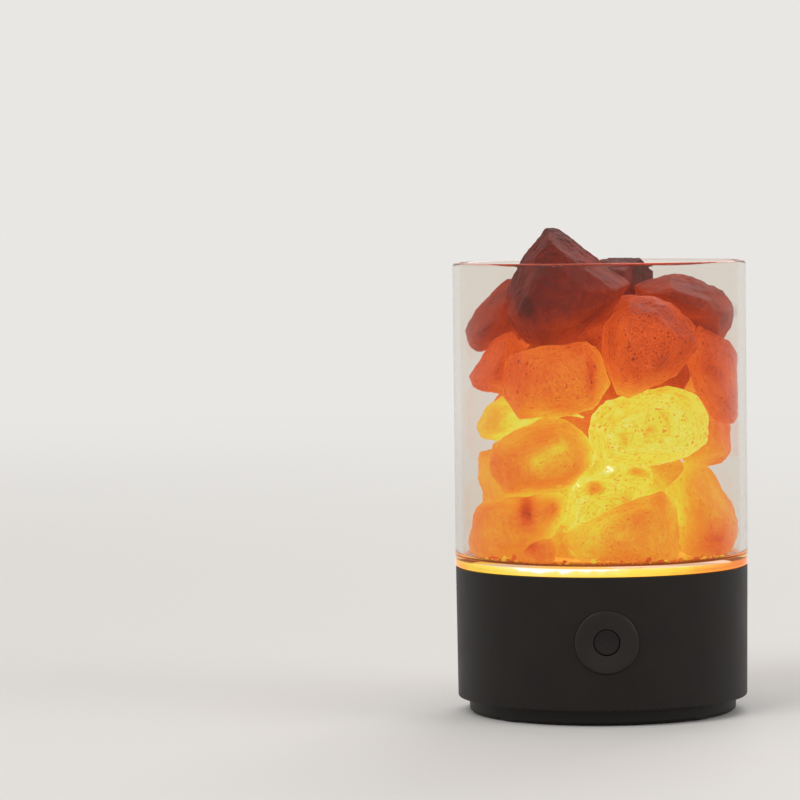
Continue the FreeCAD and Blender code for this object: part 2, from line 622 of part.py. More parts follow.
def tact_switch():
    """Square switch housing on the switch board, with the plunger's bore and four corner rivets."""
    housing = box((SWITCH_SIZE, SWITCH_DEPTH, SWITCH_SIZE),
                  V(0, SWITCH_FACE_Y + SWITCH_DEPTH / 2, BUTTON_HEIGHT - SWITCH_SIZE / 2))
    bore = cylinder(PLUNGER_RADIUS + RUNNING, PLUNGER_BORE_DEPTH, V(0, SWITCH_FACE_Y, BUTTON_HEIGHT), BACK)
    inset = SWITCH_SIZE / 2 - 0.8
    rivets = [cylinder(0.45, 0.3, V(x, SWITCH_FACE_Y, BUTTON_HEIGHT + z), FRONT)
              for x in (-inset, inset) for z in (-inset, inset)]
    return fused(housing, rivets).cut(bore)


def tact_plunger():
    depth = PLUNGER_PROUD + PLUNGER_BORE_DEPTH - BUTTON_TRAVEL - 0.3
    return cylinder(PLUNGER_RADIUS, depth, V(0, PLUNGER_FACE_Y, BUTTON_HEIGHT), BACK)


# ---- salt stones ------------------------------------------------------------------------------

# Each stone is a cleaved lump. Its outline is what it shows from the front: corner points as
# (across, height above the cup's floor). Depths are the places of its front, its widest section
# and its back along Y. They are counted in steps, which are real millimetres in this cup, so that
# the pile fills a cup of another size in the same way.
STEPS_TO_BORE = 38.0
STEPS_TO_RIM = 80.4
WALL_SIDES = 28           # the pile keeps inside a prism of this many sides in the cup's bore
FIRST_LEAN = 16.0         # degrees: how far the faces beside the outline lean in
SECOND_LEAN = 50.0
LEAN_WOBBLE = 7.0
CAP_WOBBLE = 12.0
CAP_DEPTH = 0.93          # place of the end caps, as a share of the way to the oval's end
SMALLEST_FACE = 0.02      # square millimetres

# Stones that lie free on the pile and lift straight out of the cup
LOOSE_STONES = ("stone_crown", "stone_top_left", "stone_top_right", "stone_top_rear")

# In the order in which they keep their shape: a later stone is flattened where it meets an earlier one.
STONES = [
    ("stone_crown",
     [(-14.5, 90), (-11, 89.5), (-2.5, 83), (8.5, 74.5), (0.5, 63.5), (-6.5, 59), (-14, 56),
      (-20, 58.5), (-25.5, 65), (-26, 70), (-22.5, 80)],
     (-30, -12, 5)),
    ("stone_upper_left",
     [(-22, 59), (-14, 60.5), (-3.5, 61.5), (0, 56), (2.5, 47.5), (-2, 40.5), (-8, 39),
      (-22, 38), (-27, 45), (-26, 53.5)],
     (-34, -17, 0)),
    ("stone_upper_centre",
     [(0.5, 63.5), (7.5, 71), (13.5, 71.5), (19.5, 69), (25.5, 63), (26, 57), (20, 49.5),
      (13, 46), (7.5, 43.5), (3, 45), (0, 54)],
     (-34, -16, 0)),
    ("stone_middle_left",
     [(-14.5, 39.5), (-21.5, 36.5), (-29.5, 31.5), (-30.5, 26), (-27.5, 18), (-20, 17),
      (-8.5, 19.5), (-2, 25.5), (-1.5, 29), (-4.5, 34), (-9.5, 38.5)],
     (-33, -16, 0)),
    ("stone_wedge",
     [(-11.5, 6), (-6.5, 10.5), (14, 19), (16, 19), (19.5, 14.5), (20.5, 5.5),
      (20, -1), (-5, -1), (-9.5, 2.5)],
     (-35, -21, -6)),
    ("stone_bottom_right",
     [(22.5, 26), (27, 26), (30, 23.5), (36, 13.5), (38, 8), (35.5, 1), (33.5, -1), (22.5, -1),
      (19, 8), (17, 18)],
     (-28, -5, 13)),
    ("stone_bottom_left",
     [(-32.5, 16.5), (-11, 19), (-9, 16), (-10.5, 10.5), (-15, 3), (-20, -1),
      (-33.5, -1), (-36, 5), (-35.5, 11)],
     (-29, -13, 4)),
    ("stone_chip",
     [(-19, 7), (-25, 4), (-26, 2.5), (-23, -1), (-14, -1), (-12, 4), (-13.5, 7.5)],
     (-36, -30, -22)),
    ("stone_glowing",
     [(1.5, 43), (14.5, 46.5), (19, 47), (26, 44), (29, 38.5), (29, 31.5), (24.5, 27.5),
      (15.5, 25), (2.5, 24.5), (-3, 27), (-4, 34.5), (-2.5, 39)],
     (-28, -10, 7)),
    ("stone_slab",
     [(-9, 17.5), (-1.5, 22), (8, 24.5), (14, 24), (14.5, 20.5), (10.5, 10), (-1, 6),
      (-11, 6)],
     (-22, -6, 8)),
    ("stone_lobe",
     [(-24, 62), (-29.5, 59.5), (-35.5, 49.5), (-34.5, 46.5), (-30, 44.5), (-20, 44),
      (-17, 54)],
     (-22, -5, 9)),
    ("stone_upper_right",
     [(26.5, 63), (35.5, 58.5), (38, 54.5), (38, 38.5), (36, 35.5), (31.5, 36.5),
      (26, 44), (23, 53)],
     (-24, -4, 12)),
    ("stone_top_left",
     [(-25, 76), (-30, 72), (-35, 66), (-37.5, 62), (-35.5, 57), (-32.5, 55), (-22, 56),
      (-16, 62), (-17, 74)],
     (-14, 2, 17)),
    ("stone_top_right",
     [(9, 73.5), (13, 75), (21, 77), (26.5, 75.5), (34, 72), (38.5, 67), (38, 64.5), (34, 58),
      (24, 58), (12, 64)],
     (-15, 3, 22)),
    ("stone_left_glow",
     [(-26.5, 45), (-32, 41), (-34.5, 35.5), (-32.5, 31.5), (-17, 30), (-3.5, 34), (-3, 39),
      (-12, 44)],
     (-11, 1, 12)),
    ("stone_left_low",
     [(-33.5, 28), (-28, 29.5), (-19.5, 28), (-16, 21), (-19.5, 14), (-31, 13), (-34, 21)],
     (-8, 5, 18)),
    ("stone_right_rear",
     [(24, 52), (26, 51), (37.5, 36), (38, 28), (34, 24), (30, 23), (22, 25),
      (18, 42)],
     (-6, 10, 24)),
    ("stone_top_rear",
     [(-4, 79), (0.5, 81), (11.5, 81), (20, 78.5), (23, 73), (20, 66), (4, 64), (-5, 70)],
     (-2, 14, 28)),
    ("stone_rear_floor_left",
     [(-28, 22), (-14, 25), (-4, 19), (-1, 9), (-5, -1), (-27, -1), (-34, 8), (-33, 16)],
     (1, 18, 34)),
    ("stone_rear_floor_right",
     [(2, 20), (12, 24), (24, 21), (30, 12), (27, -1), (5, -1), (-1, 8)],
     (2, 20, 35)),
    ("stone_rear_middle_left",
     [(-24, 48), (-12, 51), (-3, 45), (-1, 34), (-6, 23), (-22, 21), (-30, 30), (-30, 41)],
     (4, 19, 35)),
    ("stone_rear_middle_right",
     [(2, 46), (12, 49), (21, 44), (24, 33), (18, 22), (6, 21), (-1, 29), (-2, 39)],
     (3, 20, 36)),
    ("stone_rear_upper_left",
     [(-24, 70), (-12, 73), (-3, 67), (-2, 55), (-8, 46), (-22, 46), (-30, 54), (-30, 64)],
     (2, 17, 33)),
    ("stone_rear_upper_right",
     [(2, 66), (13, 69), (25, 66), (31, 57), (28, 47), (14, 44), (2, 46), (-2, 56)],
     (2, 17, 34)),
]

CRUMB_COUNT = 15
CRUMB_SIZES = (1.0, 2.4)
CRUMB_ARC = (-158.0, -22.0)   # degrees about the axis, along the front of the cup's floor
CRUMB_FACES = 6
CRUMB_RISE = 0.35             # a crumb's middle above the floor and its top above that, over its size


def wobble(*numbers):
    """A steady value from -1 to 1 that looks random and differs from one set of numbers to the next."""
    mixed = sum(n * k for n, k in zip(numbers, (0.7548777, 0.5698403, 0.3819660)))
    return 2.0 * (mixed % 1.0) - 1.0


def clipped(corners, plane):
    """What is left of a flat polygon on the inner side of a plane."""
    outward, reach = plane
    kept = []
    for first, second in zip(corners, corners[1:] + corners[:1]):
        before = reach - first.dot(outward)
        after = reach - second.dot(outward)
        if before >= 0:
            kept.append(first)
        if before * after < 0:
            kept.append(first + (second - first) * (before / (before - after)))
    return kept


def polygon_area(corners):
    total = V(0, 0, 0)
    for first, second in zip(corners[1:], corners[2:]):
        total += (first - corners[0]).cross(second - corners[0])
    return total.Length / 2


class Lump:
    """A convex lump of salt, held as the planes that it is cleaved along: each an outward direction
    and its distance from the origin."""

    def __init__(self, planes):
        self.planes = planes
        self.faces = []
        self.find_faces()

    def find_faces(self):
        """Works out each plane's face, and drops planes that miss the lump or only graze it."""
        found = []
        for plane in self.planes:
            corners = self.face_on(plane)
            if len(corners) > 2 and polygon_area(corners) > SMALLEST_FACE:
                found.append(plane)
        if len(found) < len(self.planes):
            self.planes = found
            self.find_faces()
            return
        self.faces = [self.face_on(plane) for plane in self.planes]

    def face_on(self, plane):
        outward, reach = plane
        across = outward.cross(UP if abs(outward.z) < 0.9 else BACK).normalize() * (4 * CUP_RADIUS)
        along = outward.cross(across)
        centre = outward * reach
        corners = [centre + across + along, centre - across + along,
                   centre - across - along, centre + across - along]
        for other in self.planes:
            if other is not plane:
                corners = clipped(corners, other)
        return corners

    def cleave(self, planes):
        """Splits off what lies beyond these planes."""
        self.planes = self.planes + planes
        self.find_faces()

    def reach_along(self, direction):
        return max(corner.dot(direction) for face in self.faces for corner in face)

    def middle(self):
        corners = [corner for face in self.faces for corner in face]
        total = V(0, 0, 0)
        for corner in corners:
            total += corner
        return total * (1.0 / len(corners))

    def solid(self):
        shell = Part.makeShell([Part.Face(Part.makePolygon(c + c[:1])) for c in self.faces])
        shell.sewShape()
        return Part.makeSolid(shell)


def plane_through(point, outward):
    direction = V(outward).normalize()
    return direction, point.dot(direction)


def outline_sides(corners):
    """Middle point, outward direction and distance from the centre of each side of an upright outline."""
    centre = V(sum(c.x for c in corners), 0, sum(c.z for c in corners)) * (1.0 / len(corners))
    sides = []
    for first, second in zip(corners, corners[1:] + corners[:1]):
        along = second - first
        outward = V(along.z, 0, -along.x).normalize()
        middle = (first + second) * 0.5
        if outward.dot(middle - centre) < 0:
            outward = -outward
        sides.append((middle, outward, outward.dot(middle - centre)))
    return centre, sides


def rough_stone(index, outline, depths):
    """A cleaved lump: two faces lean in from each side of its outline, front and back, as if they
    touched an oval, and a tilted cap closes each end."""
    scale = CUP_BORE / STEPS_TO_BORE
    rise = CUP_DEPTH / STEPS_TO_RIM
    corners = [V(x * scale, 0, CUP_INSIDE + h * rise) for x, h in outline]
    front, widest, back = [depth * scale for depth in depths]
    centre, sides = outline_sides(corners)
    centre.y = widest
    planes = []
    for way, depth in ((FRONT, widest - front), (BACK, back - widest)):
        for k, (middle, outward, reach) in enumerate(sides):
            lean = math.radians(FIRST_LEAN + LEAN_WOBBLE * wobble(index, k, way.y))
            side = V(middle.x, widest, middle.z)
            planes.append(plane_through(side, outward * math.cos(lean) + way * math.sin(lean)))
            lean = math.radians(SECOND_LEAN + LEAN_WOBBLE * wobble(k, index, way.y))
            touch = centre + outward * (reach * math.cos(lean)) + way * (depth * math.sin(lean))
            oval = outward * (math.cos(lean) / reach) + way * (math.sin(lean) / depth)
            planes.append(plane_through(touch, oval))
        tilt = math.tan(math.radians(CAP_WOBBLE))
        cap = way + V(tilt * wobble(index, 3, way.y), 0, tilt * wobble(5, index, way.y))
        planes.append(plane_through(centre + way * (CAP_DEPTH * depth), cap))
    return Lump(planes)


def contact(kept, laid, kept_loose, laid_loose):
    """The direction from a lump that keeps its shape to one laid against it along which they overlap
    least, and that overlap. A loose stone is never held down from above."""
    candidates = [outward for outward, reach in kept.planes]
    candidates += [-outward for outward, reach in laid.planes]
    candidates += [V(outward.x, 0, outward.z) for outward in candidates]
    candidates.append(laid.middle() - kept.middle())
    best = None
    for candidate in candidates:
        trial = V(candidate)
        if kept_loose:
            trial.z = min(trial.z, 0.0)
        if laid_loose:
            trial.z = max(trial.z, 0.0)
        if trial.Length < 0.2:
            continue
        trial.normalize()
        overlap = kept.reach_along(trial) + laid.reach_along(-trial)
        if best is None or overlap < best[1]:
            best = (trial, overlap)
    return best


def cup_room():
    """The planes that keep stones inside the cup: a many-sided bore, the floor, and between them the
    chords of the cup's inner round."""
    reach = (CUP_BORE - STONE_GAP) * math.cos(math.pi / WALL_SIDES)
    half = CUP_INNER_CORNER / 2
    planes = [(-UP, -CUP_INSIDE)]
    for way in on_circle(1.0, WALL_SIDES, 0):
        planes.append((way, reach))
        planes.append(plane_through(way * (reach - half) + UP * (CUP_INSIDE + half), way - UP))
    return planes


def settle(lump, laid, loose=False):
    """Flattens a lump where it would run into those already laid."""
    lump.cleave(cup_room())
    for name, kept in laid.items():
        if not lump.faces:
            return
        direction, overlap = contact(kept, lump, name in LOOSE_STONES, loose)
        if overlap + STONE_GAP > 0:
            lump.cleave([(-direction, -kept.reach_along(direction) - STONE_GAP)])


def stone_lumps():
    """All stones by name, laid against the cup's floor and wall and against each other."""
    laid = {}
    for index, (name, outline, depths) in enumerate(STONES):
        stone = rough_stone(index, outline, depths)
        settle(stone, laid, name in LOOSE_STONES)
        laid[name] = stone
    return laid


def crumb_lumps(stones):
    """Small splinters that lie on the cup's floor in front of the stones."""
    crumbs = []
    smallest, largest = CRUMB_SIZES
    for k in range(CRUMB_COUNT):
        share = (k + 0.5 + 0.35 * wobble(k, 1)) / CRUMB_COUNT
        turn = math.radians(CRUMB_ARC[0] + share * (CRUMB_ARC[1] - CRUMB_ARC[0]))
        size = smallest + (largest - smallest) * (0.5 + 0.5 * wobble(k, 7))
        distance = CUP_BORE - CUP_INNER_CORNER - size
        place = V(distance * math.cos(turn), distance * math.sin(turn), CUP_INSIDE + size * CRUMB_RISE)
        planes = []
        for j in range(CRUMB_FACES):
            around = turn + math.radians(360.0 * j / CRUMB_FACES + 25 * wobble(k, j))
            outward = V(math.cos(around), math.sin(around), 0.3 + 0.7 * wobble(j, k) ** 2).normalize()
            planes.append((outward, place.dot(outward) + size * (0.55 + 0.2 * wobble(k, j, 4))))
        planes.append(plane_through(place + UP * (size * CRUMB_RISE), V(wobble(k, 9) * 0.3, 0.2, 1)))
        crumb = Lump(planes)
        settle(crumb, stones)
        if len(crumb.faces) > 3:
            crumbs.append(crumb)
    return crumbs


# ---- the whole lamp ---------------------------------------------------------------------------

def lamp():
    parts = {
        "glass_cup": glass_cup(),
        "cup_bond": cup_bond(),
        "base_shell": base_shell(),
        "bottom_cover": bottom_cover(),
        "rubber_feet": rubber_feet(),
        "cover_screws": cover_screws(),
        "light_window": light_window(),
        "reflector": reflector(),
        "led_board": led_board(),
        "leds": leds(),
        "led_screws": led_screws(),
        "control_board": control_board(),
        "board_screws": board_screws(),
        "board_components": board_components(),
        "wire_connectors": wire_connectors(),
        "led_leads": led_leads(),
        "switch_leads": switch_leads(),
        "power_inlet": power_inlet(),
        "inlet_pin": inlet_pin(),
        "button_bezel": button_bezel(),
        "push_button": push_button(),
        "tact_switch": tact_switch(),
        "tact_plunger": tact_plunger(),
        "switch_board": switch_board_blank(),
    }
    stones = stone_lumps()
    parts.update({name: stone.solid() for name, stone in stones.items()})
    parts["salt_crumbs"] = group([crumb.solid() for crumb in crumb_lumps(stones)])
    return parts


os.makedirs("parts", exist_ok=True)
for node, shape in lamp().items():
    shape.exportStep(f"parts/{node}.step")
    print(f"{node:26s} solids {len(shape.Solids):2d}  volume {shape.Volume:9.1f}  valid {shape.isValid()}")
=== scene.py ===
"""Looks of a salt crystal lamp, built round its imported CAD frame.

A clear glass cup of loose salt stones stands on a black moulded base, which lights them from below.
The scene is in metres, in the frame of the CAD model: +Z is up and the front, with the power button,
faces -Y. Sizes that are read as millimetres are marked so, and lengths inside the stones' and the cup's
formulas are in millimetres until the mesh is made.
"""

import logging
import math
from collections.abc import Sequence
from dataclasses import dataclass, field
from enum import Enum

import bpy
import numpy as np
from mathutils import Matrix, Vector


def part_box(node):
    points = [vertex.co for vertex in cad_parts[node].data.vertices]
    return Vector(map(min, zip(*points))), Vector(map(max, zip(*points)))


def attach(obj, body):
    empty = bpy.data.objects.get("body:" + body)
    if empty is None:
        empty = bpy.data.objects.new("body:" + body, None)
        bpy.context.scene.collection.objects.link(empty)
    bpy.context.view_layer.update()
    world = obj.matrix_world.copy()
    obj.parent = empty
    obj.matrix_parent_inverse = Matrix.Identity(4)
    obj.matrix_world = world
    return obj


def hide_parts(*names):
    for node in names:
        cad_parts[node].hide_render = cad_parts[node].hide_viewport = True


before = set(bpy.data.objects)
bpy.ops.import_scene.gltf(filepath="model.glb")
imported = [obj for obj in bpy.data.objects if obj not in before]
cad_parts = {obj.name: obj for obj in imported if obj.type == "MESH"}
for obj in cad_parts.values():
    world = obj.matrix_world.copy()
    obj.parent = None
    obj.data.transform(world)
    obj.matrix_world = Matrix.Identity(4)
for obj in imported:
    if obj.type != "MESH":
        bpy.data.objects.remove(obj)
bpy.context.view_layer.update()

logging.basicConfig(level=logging.INFO, format="%(message)s")
log = logging.getLogger("salt_lamp")

MM = 0.001
Colour = tuple[float, float, float, float]


# ---- small tools ------------------------------------------------------------------------------

def linear(hex_colour: str) -> Colour:
    """Turn an sRGB hex colour into linear light.

    Args:
        hex_colour: a colour such as "#26211E".

    Returns:
        Red, green, blue and an alpha of one.
    """
    shares = [int(hex_colour[k:k + 2], 16) / 255 for k in (1, 3, 5)]
    red, green, blue = [s / 12.92 if s <= 0.04045 else ((s + 0.055) / 1.055) ** 2.4 for s in shares]
    return red, green, blue, 1.0


def per_mm(size: float) -> float:
    """Scale of a texture on Object coordinates whose features are this many millimetres wide."""
    return 1.0 / (size * MM)


def add_node(tree: bpy.types.NodeTree, kind: str, inputs: dict | None = None,
             stops: Sequence[tuple[float, Colour]] = (), **settings: object) -> bpy.types.Node:
    """Add one node with its settings and links.

    Args:
        tree: the material's or world's node tree.
        kind: the node's type, such as "ShaderNodeTexNoise".
        inputs: value or source socket of each input, by name or number.
        stops: places and colours of a colour ramp, lowest first.
        settings: the node's own properties.

    Returns:
        The new node.
    """
    node = tree.nodes.new(kind)
    for name, value in settings.items():
        setattr(node, name, value)
    for name, value in (inputs or {}).items():
        if isinstance(value, bpy.types.NodeSocket):
            tree.links.new(value, node.inputs[name])
        else:
            node.inputs[name].default_value = value
    for number, (place, colour) in enumerate(stops):
        elements = node.color_ramp.elements
        stop = elements[number] if number < 1 else elements.new(place)
        stop.position = place
        stop.color = colour
    if stops:
        node.color_ramp.elements.remove(node.color_ramp.elements[-1])
    return node


def mesh_object(name: str, points: np.ndarray, *face_groups: np.ndarray,
                smooth: bool = True) -> bpy.types.Object:
    """Put computed points and faces into a new mesh object at the origin.

    Args:
        name: the piece's name.
        points: corner points in millimetres, one row each.
        face_groups: arrays of point numbers, one row per face, all rows of an array equally long.
        smooth: whether the faces are shaded smooth.

    Returns:
        The linked object.
    """
    corners = np.concatenate([group.ravel() for group in face_groups]).astype(np.int32)
    sizes = np.concatenate([np.full(len(group), group.shape[1]) for group in face_groups])
    starts = np.concatenate([[0], np.cumsum(sizes)[:-1]]).astype(np.int32)
    mesh = bpy.data.meshes.new(name)
    mesh.vertices.add(len(points))
    mesh.vertices.foreach_set("co", (points * MM).astype(np.float32).ravel())
    mesh.loops.add(len(corners))
    mesh.loops.foreach_set("vertex_index", corners)
    mesh.polygons.add(len(sizes))
    mesh.polygons.foreach_set("loop_start", starts)
    mesh.polygons.foreach_set("use_smooth", np.full(len(sizes), smooth))
    mesh.update(calc_edges=True)
    mesh.validate()
    made = bpy.data.objects.new(name, mesh)
    bpy.context.scene.collection.objects.link(made)
    return made


def set_attribute(piece: bpy.types.Object, name: str, values: np.ndarray) -> None:
    """Store one number per point of a piece, for its material to read."""
    attribute = piece.data.attributes.new(name, "FLOAT", "POINT")
    attribute.data.foreach_set("value", values.astype(np.float32))


def arc(centre: tuple[float, float], radius: float, start: float, end: float, steps: int) -> np.ndarray:
    """Points on a circle's arc in the plane of radius and height.

    Formula: centre + radius (cos a, sin a), with a running evenly from start to end in degrees.
    """
    turn = np.radians(np.linspace(start, end, steps + 1))
    return np.stack([centre[0] + radius * np.cos(turn), centre[1] + radius * np.sin(turn)], axis=1)


def run(first: tuple[float, float], last: tuple[float, float], margin: float) -> np.ndarray:
    """A straight run of a profile, with a point close to each end so that its shading stays flat."""
    first, last = np.array(first), np.array(last)
    along = (last - first) / np.linalg.norm(last - first)
    return np.stack([first + along * margin, last - along * margin])


def turned(name: str, profile: np.ndarray, segments: int) -> bpy.types.Object:
    """Make a closed solid of revolution.

    Formula: each profile point (r, h) becomes (r cos a, r sin a, h) for even steps of a. The first and
    last points lie on the axis and close the shell.

    Args:
        name: the piece's name.
        profile: rows of radius and height in millimetres, going anticlockwise in that plane.
        segments: number of steps round the axis.

    Returns:
        The new piece.
    """
    ring = profile[1:-1]
    turn = np.linspace(0, 2 * np.pi, segments, endpoint=False)
    grid = np.stack([np.outer(ring[:, 0], np.cos(turn)), np.outer(ring[:, 0], np.sin(turn)),
                     np.repeat(ring[:, 1:], segments, axis=1)], axis=2)
    points = grid.reshape(-1, 3)
    rows = len(ring)
    row = np.arange(rows - 1)[:, None] * segments
    above = row + segments
    here = np.arange(segments)[None, :]
    beside = (here + 1) % segments
    quads = np.stack([row + here, row + beside, above + beside, above + here], axis=2).reshape(-1, 4)
    low, high = len(points), len(points) + 1
    points = np.vstack([points, [[0, 0, profile[0, 1]], [0, 0, profile[-1, 1]]]])
    last = (rows - 1) * segments
    ends = np.concatenate([
        np.stack([np.full(segments, low), beside[0], here[0]], axis=1),
        np.stack([np.full(segments, high), last + here[0], last + beside[0]], axis=1)])
    return mesh_object(name, points, quads, ends)


def ball_grid(cells: int) -> tuple[np.ndarray, np.ndarray]:
    """Directions and faces of a ball made of six square grids.

    Formula: on each side of a cube the two parameters s and t run from -1 to 1, the point is
    (1, tan(pi s / 4), tan(pi t / 4)) turned to that side, and its direction is that over its length.

    Args:
        cells: grid steps along a side.

    Returns:
        Unit directions, one row per point, and quads that face outwards.
    """
    steps = np.arange(cells + 1)
    row, column = np.meshgrid(steps, steps, indexing="ij")
    number = np.arange((cells + 1) ** 2).reshape(cells + 1, cells + 1)
    lattice, faces = [], []
    for axis in range(3):
        for side in (0, cells):
            spot = np.empty((cells + 1, cells + 1, 3), int)
            spot[..., axis] = side
            spot[..., (axis + 1) % 3] = row
            spot[..., (axis + 2) % 3] = column
            quads = np.stack([number[:-1, :-1], number[1:, :-1], number[1:, 1:], number[:-1, 1:]], axis=2)
            quads = quads if side else quads[..., ::-1]
            faces.append(quads.reshape(-1, 4) + len(lattice) * number.size)
            lattice.append(spot.reshape(-1, 3))
    unique, inverse = np.unique(np.concatenate(lattice), axis=0, return_inverse=True)
    directions = np.tan((unique / cells * 2 - 1) * np.pi / 4)
    directions /= np.linalg.norm(directions, axis=1, keepdims=True)
    return directions, inverse.reshape(-1)[np.concatenate(faces)]


class WaveNoise:
    """Smooth noise that is the same in each run.

    Formula: the sum of sine waves that run in random directions with random phases and lengths near
    one wavelength, divided so that its values spread about zero with a deviation of one.
    """

    def __init__(self, seed: int, wavelength: float, waves: int = 28) -> None:
        """Draw the waves. The wavelength is in millimetres."""
        draw = np.random.default_rng(seed)
        ways = draw.normal(size=(waves, 3))
        ways /= np.linalg.norm(ways, axis=1, keepdims=True)
        lengths = wavelength * draw.uniform(0.65, 1.5, waves)
        self.vectors = ways * (2 * np.pi / lengths[:, None])
        self.phases = draw.uniform(0, 2 * np.pi, waves)

    def at(self, points: np.ndarray) -> np.ndarray:
        """Value of the noise at each point, in millimetres."""
        waves = np.sin(points @ self.vectors.T + self.phases)
        return waves.sum(axis=1) / math.sqrt(len(self.phases) / 2)


# ---- finishes ---------------------------------------------------------------------------------

@dataclass(frozen=True)
class Finish:
    """A real material and how its surface was made."""

    name: str

    def material(self) -> bpy.types.Material:
        """Make the material: a Principled shader that the finish dresses on Object coordinates."""
        made = bpy.data.materials.new(self.name)
        made.use_nodes = True
        tree = made.node_tree
        place = add_node(tree, "ShaderNodeTexCoord").outputs["Object"]
        self.dress(tree, tree.nodes["Principled BSDF"], place)
        return made

    def dress(self, tree: bpy.types.NodeTree, shader: bpy.types.Node,
              place: bpy.types.NodeSocket) -> None:
        """Set the shader's constants and link its patterns."""
        raise NotImplementedError


@dataclass(frozen=True)
class MouldedPlastic(Finish):
    """Moulded plastic or rubber: one colour with a faint cloud in it, and the mould's spark-eroded grain,
    which breaks up reflections into a satin sheen."""

    colour: str
    cloud: str
    roughness: float = 0.45
    roughness_spread: float = 0.08
    grain: float = 0.35          # mm; the real grain is finer, and this is as fine as still shows
    grain_depth: float = 0.012   # mm
    ior: float = 1.53
    specular: float = 0.5

    def dress(self, tree: bpy.types.NodeTree, shader: bpy.types.Node,
              place: bpy.types.NodeSocket) -> None:
        """Cloud the colour, vary the roughness and raise the grain."""
        shader.inputs["IOR"].default_value = self.ior
        shader.inputs["Specular IOR Level"].default_value = self.specular
        cloud = add_node(tree, "ShaderNodeTexNoise",
                         {"Vector": place, "Scale": per_mm(9.0), "Detail": 4.0}).outputs["Fac"]
        colour = add_node(tree, "ShaderNodeValToRGB", {"Fac": cloud},
                          [(0.35, linear(self.colour)), (0.7, linear(self.cloud))])
        low = self.roughness - self.roughness_spread
        high = self.roughness + self.roughness_spread
        rough = add_node(tree, "ShaderNodeMapRange", {"Value": cloud, 3: low, 4: high})
        grain = add_node(tree, "ShaderNodeTexNoise",
                         {"Vector": place, "Scale": per_mm(self.grain), "Detail": 2.0}).outputs["Fac"]
        bump = add_node(tree, "ShaderNodeBump",
                        {"Height": grain, "Strength": 1.0, "Distance": self.grain_depth * MM})
        tree.links.new(colour.outputs["Color"], shader.inputs["Base Color"])
        tree.links.new(rough.outputs["Result"], shader.inputs["Roughness"])
        tree.links.new(bump.outputs["Normal"], shader.inputs["Normal"])


@dataclass(frozen=True)
class TurnedMetal(Finish):
    """Plated steel or brass, with fine tool marks round the piece that streak its highlights."""

    colour: str
    tarnish: str
    roughness: float = 0.28

    def dress(self, tree: bpy.types.NodeTree, shader: bpy.types.Node,
              place: bpy.types.NodeSocket) -> None:
        """Tarnish the colour in patches and roughen it along the marks."""
        shader.inputs["Metallic"].default_value = 1.0
        patches = add_node(tree, "ShaderNodeTexNoise",
                           {"Vector": place, "Scale": per_mm(1.5), "Detail": 5.0}).outputs["Fac"]
        colour = add_node(tree, "ShaderNodeValToRGB", {"Fac": patches},
                          [(0.4, linear(self.colour)), (0.75, linear(self.tarnish))])
        marks = add_node(tree, "ShaderNodeTexWave",
                         {"Vector": place, "Scale": per_mm(0.6), "Distortion": 1.5}, wave_type="RINGS")
        rough = add_node(tree, "ShaderNodeMapRange",
                         {"Value": marks.outputs["Fac"], 3: self.roughness - 0.06, 4: self.roughness + 0.1})
        tree.links.new(colour.outputs["Color"], shader.inputs["Base Color"])
        tree.links.new(rough.outputs["Result"], shader.inputs["Roughness"])


@dataclass(frozen=True)
class CircuitBoard(Finish):
    """Glass-fibre board under solder mask: lacquered, with raised tracks that show through it."""

    mask: str
    track: str

    def dress(self, tree: bpy.types.NodeTree, shader: bpy.types.Node,
              place: bpy.types.NodeSocket) -> None:
        """Draw the tracks as the straight edges of cells, and raise them under the lacquer."""
        shader.inputs["Roughness"].default_value = 0.3
        cells = add_node(tree, "ShaderNodeTexVoronoi", {"Vector": place, "Scale": per_mm(3.0)},
                         feature="DISTANCE_TO_EDGE")
        colour = add_node(tree, "ShaderNodeValToRGB", {"Fac": cells.outputs["Distance"]},
                          [(0.05, linear(self.track)), (0.09, linear(self.mask))])
        bump = add_node(tree, "ShaderNodeBump",
                        {"Height": cells.outputs["Distance"], "Strength": 0.5, "Distance": 0.05 * MM},
                        invert=True)
        tree.links.new(colour.outputs["Color"], shader.inputs["Base Color"])
        tree.links.new(bump.outputs["Normal"], shader.inputs["Normal"])


@dataclass(frozen=True)
class LitPlastic(Finish):
    """Frosted acrylic or a lit LED package: milky, with light coming out of it unevenly."""

    colour: str
    light: str
    strength: float

    def dress(self, tree: bpy.types.NodeTree, shader: bpy.types.Node,
              place: bpy.types.NodeSocket) -> None:
        """Spread the light in soft clouds over a frosted skin."""
        shader.inputs["Roughness"].default_value = 0.6
        shader.inputs["Emission Strength"].default_value = self.strength
        cloud = add_node(tree, "ShaderNodeTexNoise",
                         {"Vector": place, "Scale": per_mm(7.0), "Detail": 2.0}).outputs["Fac"]
        light = add_node(tree, "ShaderNodeValToRGB", {"Fac": cloud},
                         [(0.2, linear(self.light)), (0.9, linear(self.colour))])
        tree.links.new(light.outputs["Color"], shader.inputs["Base Color"])
        tree.links.new(light.outputs["Color"], shader.inputs["Emission Color"])


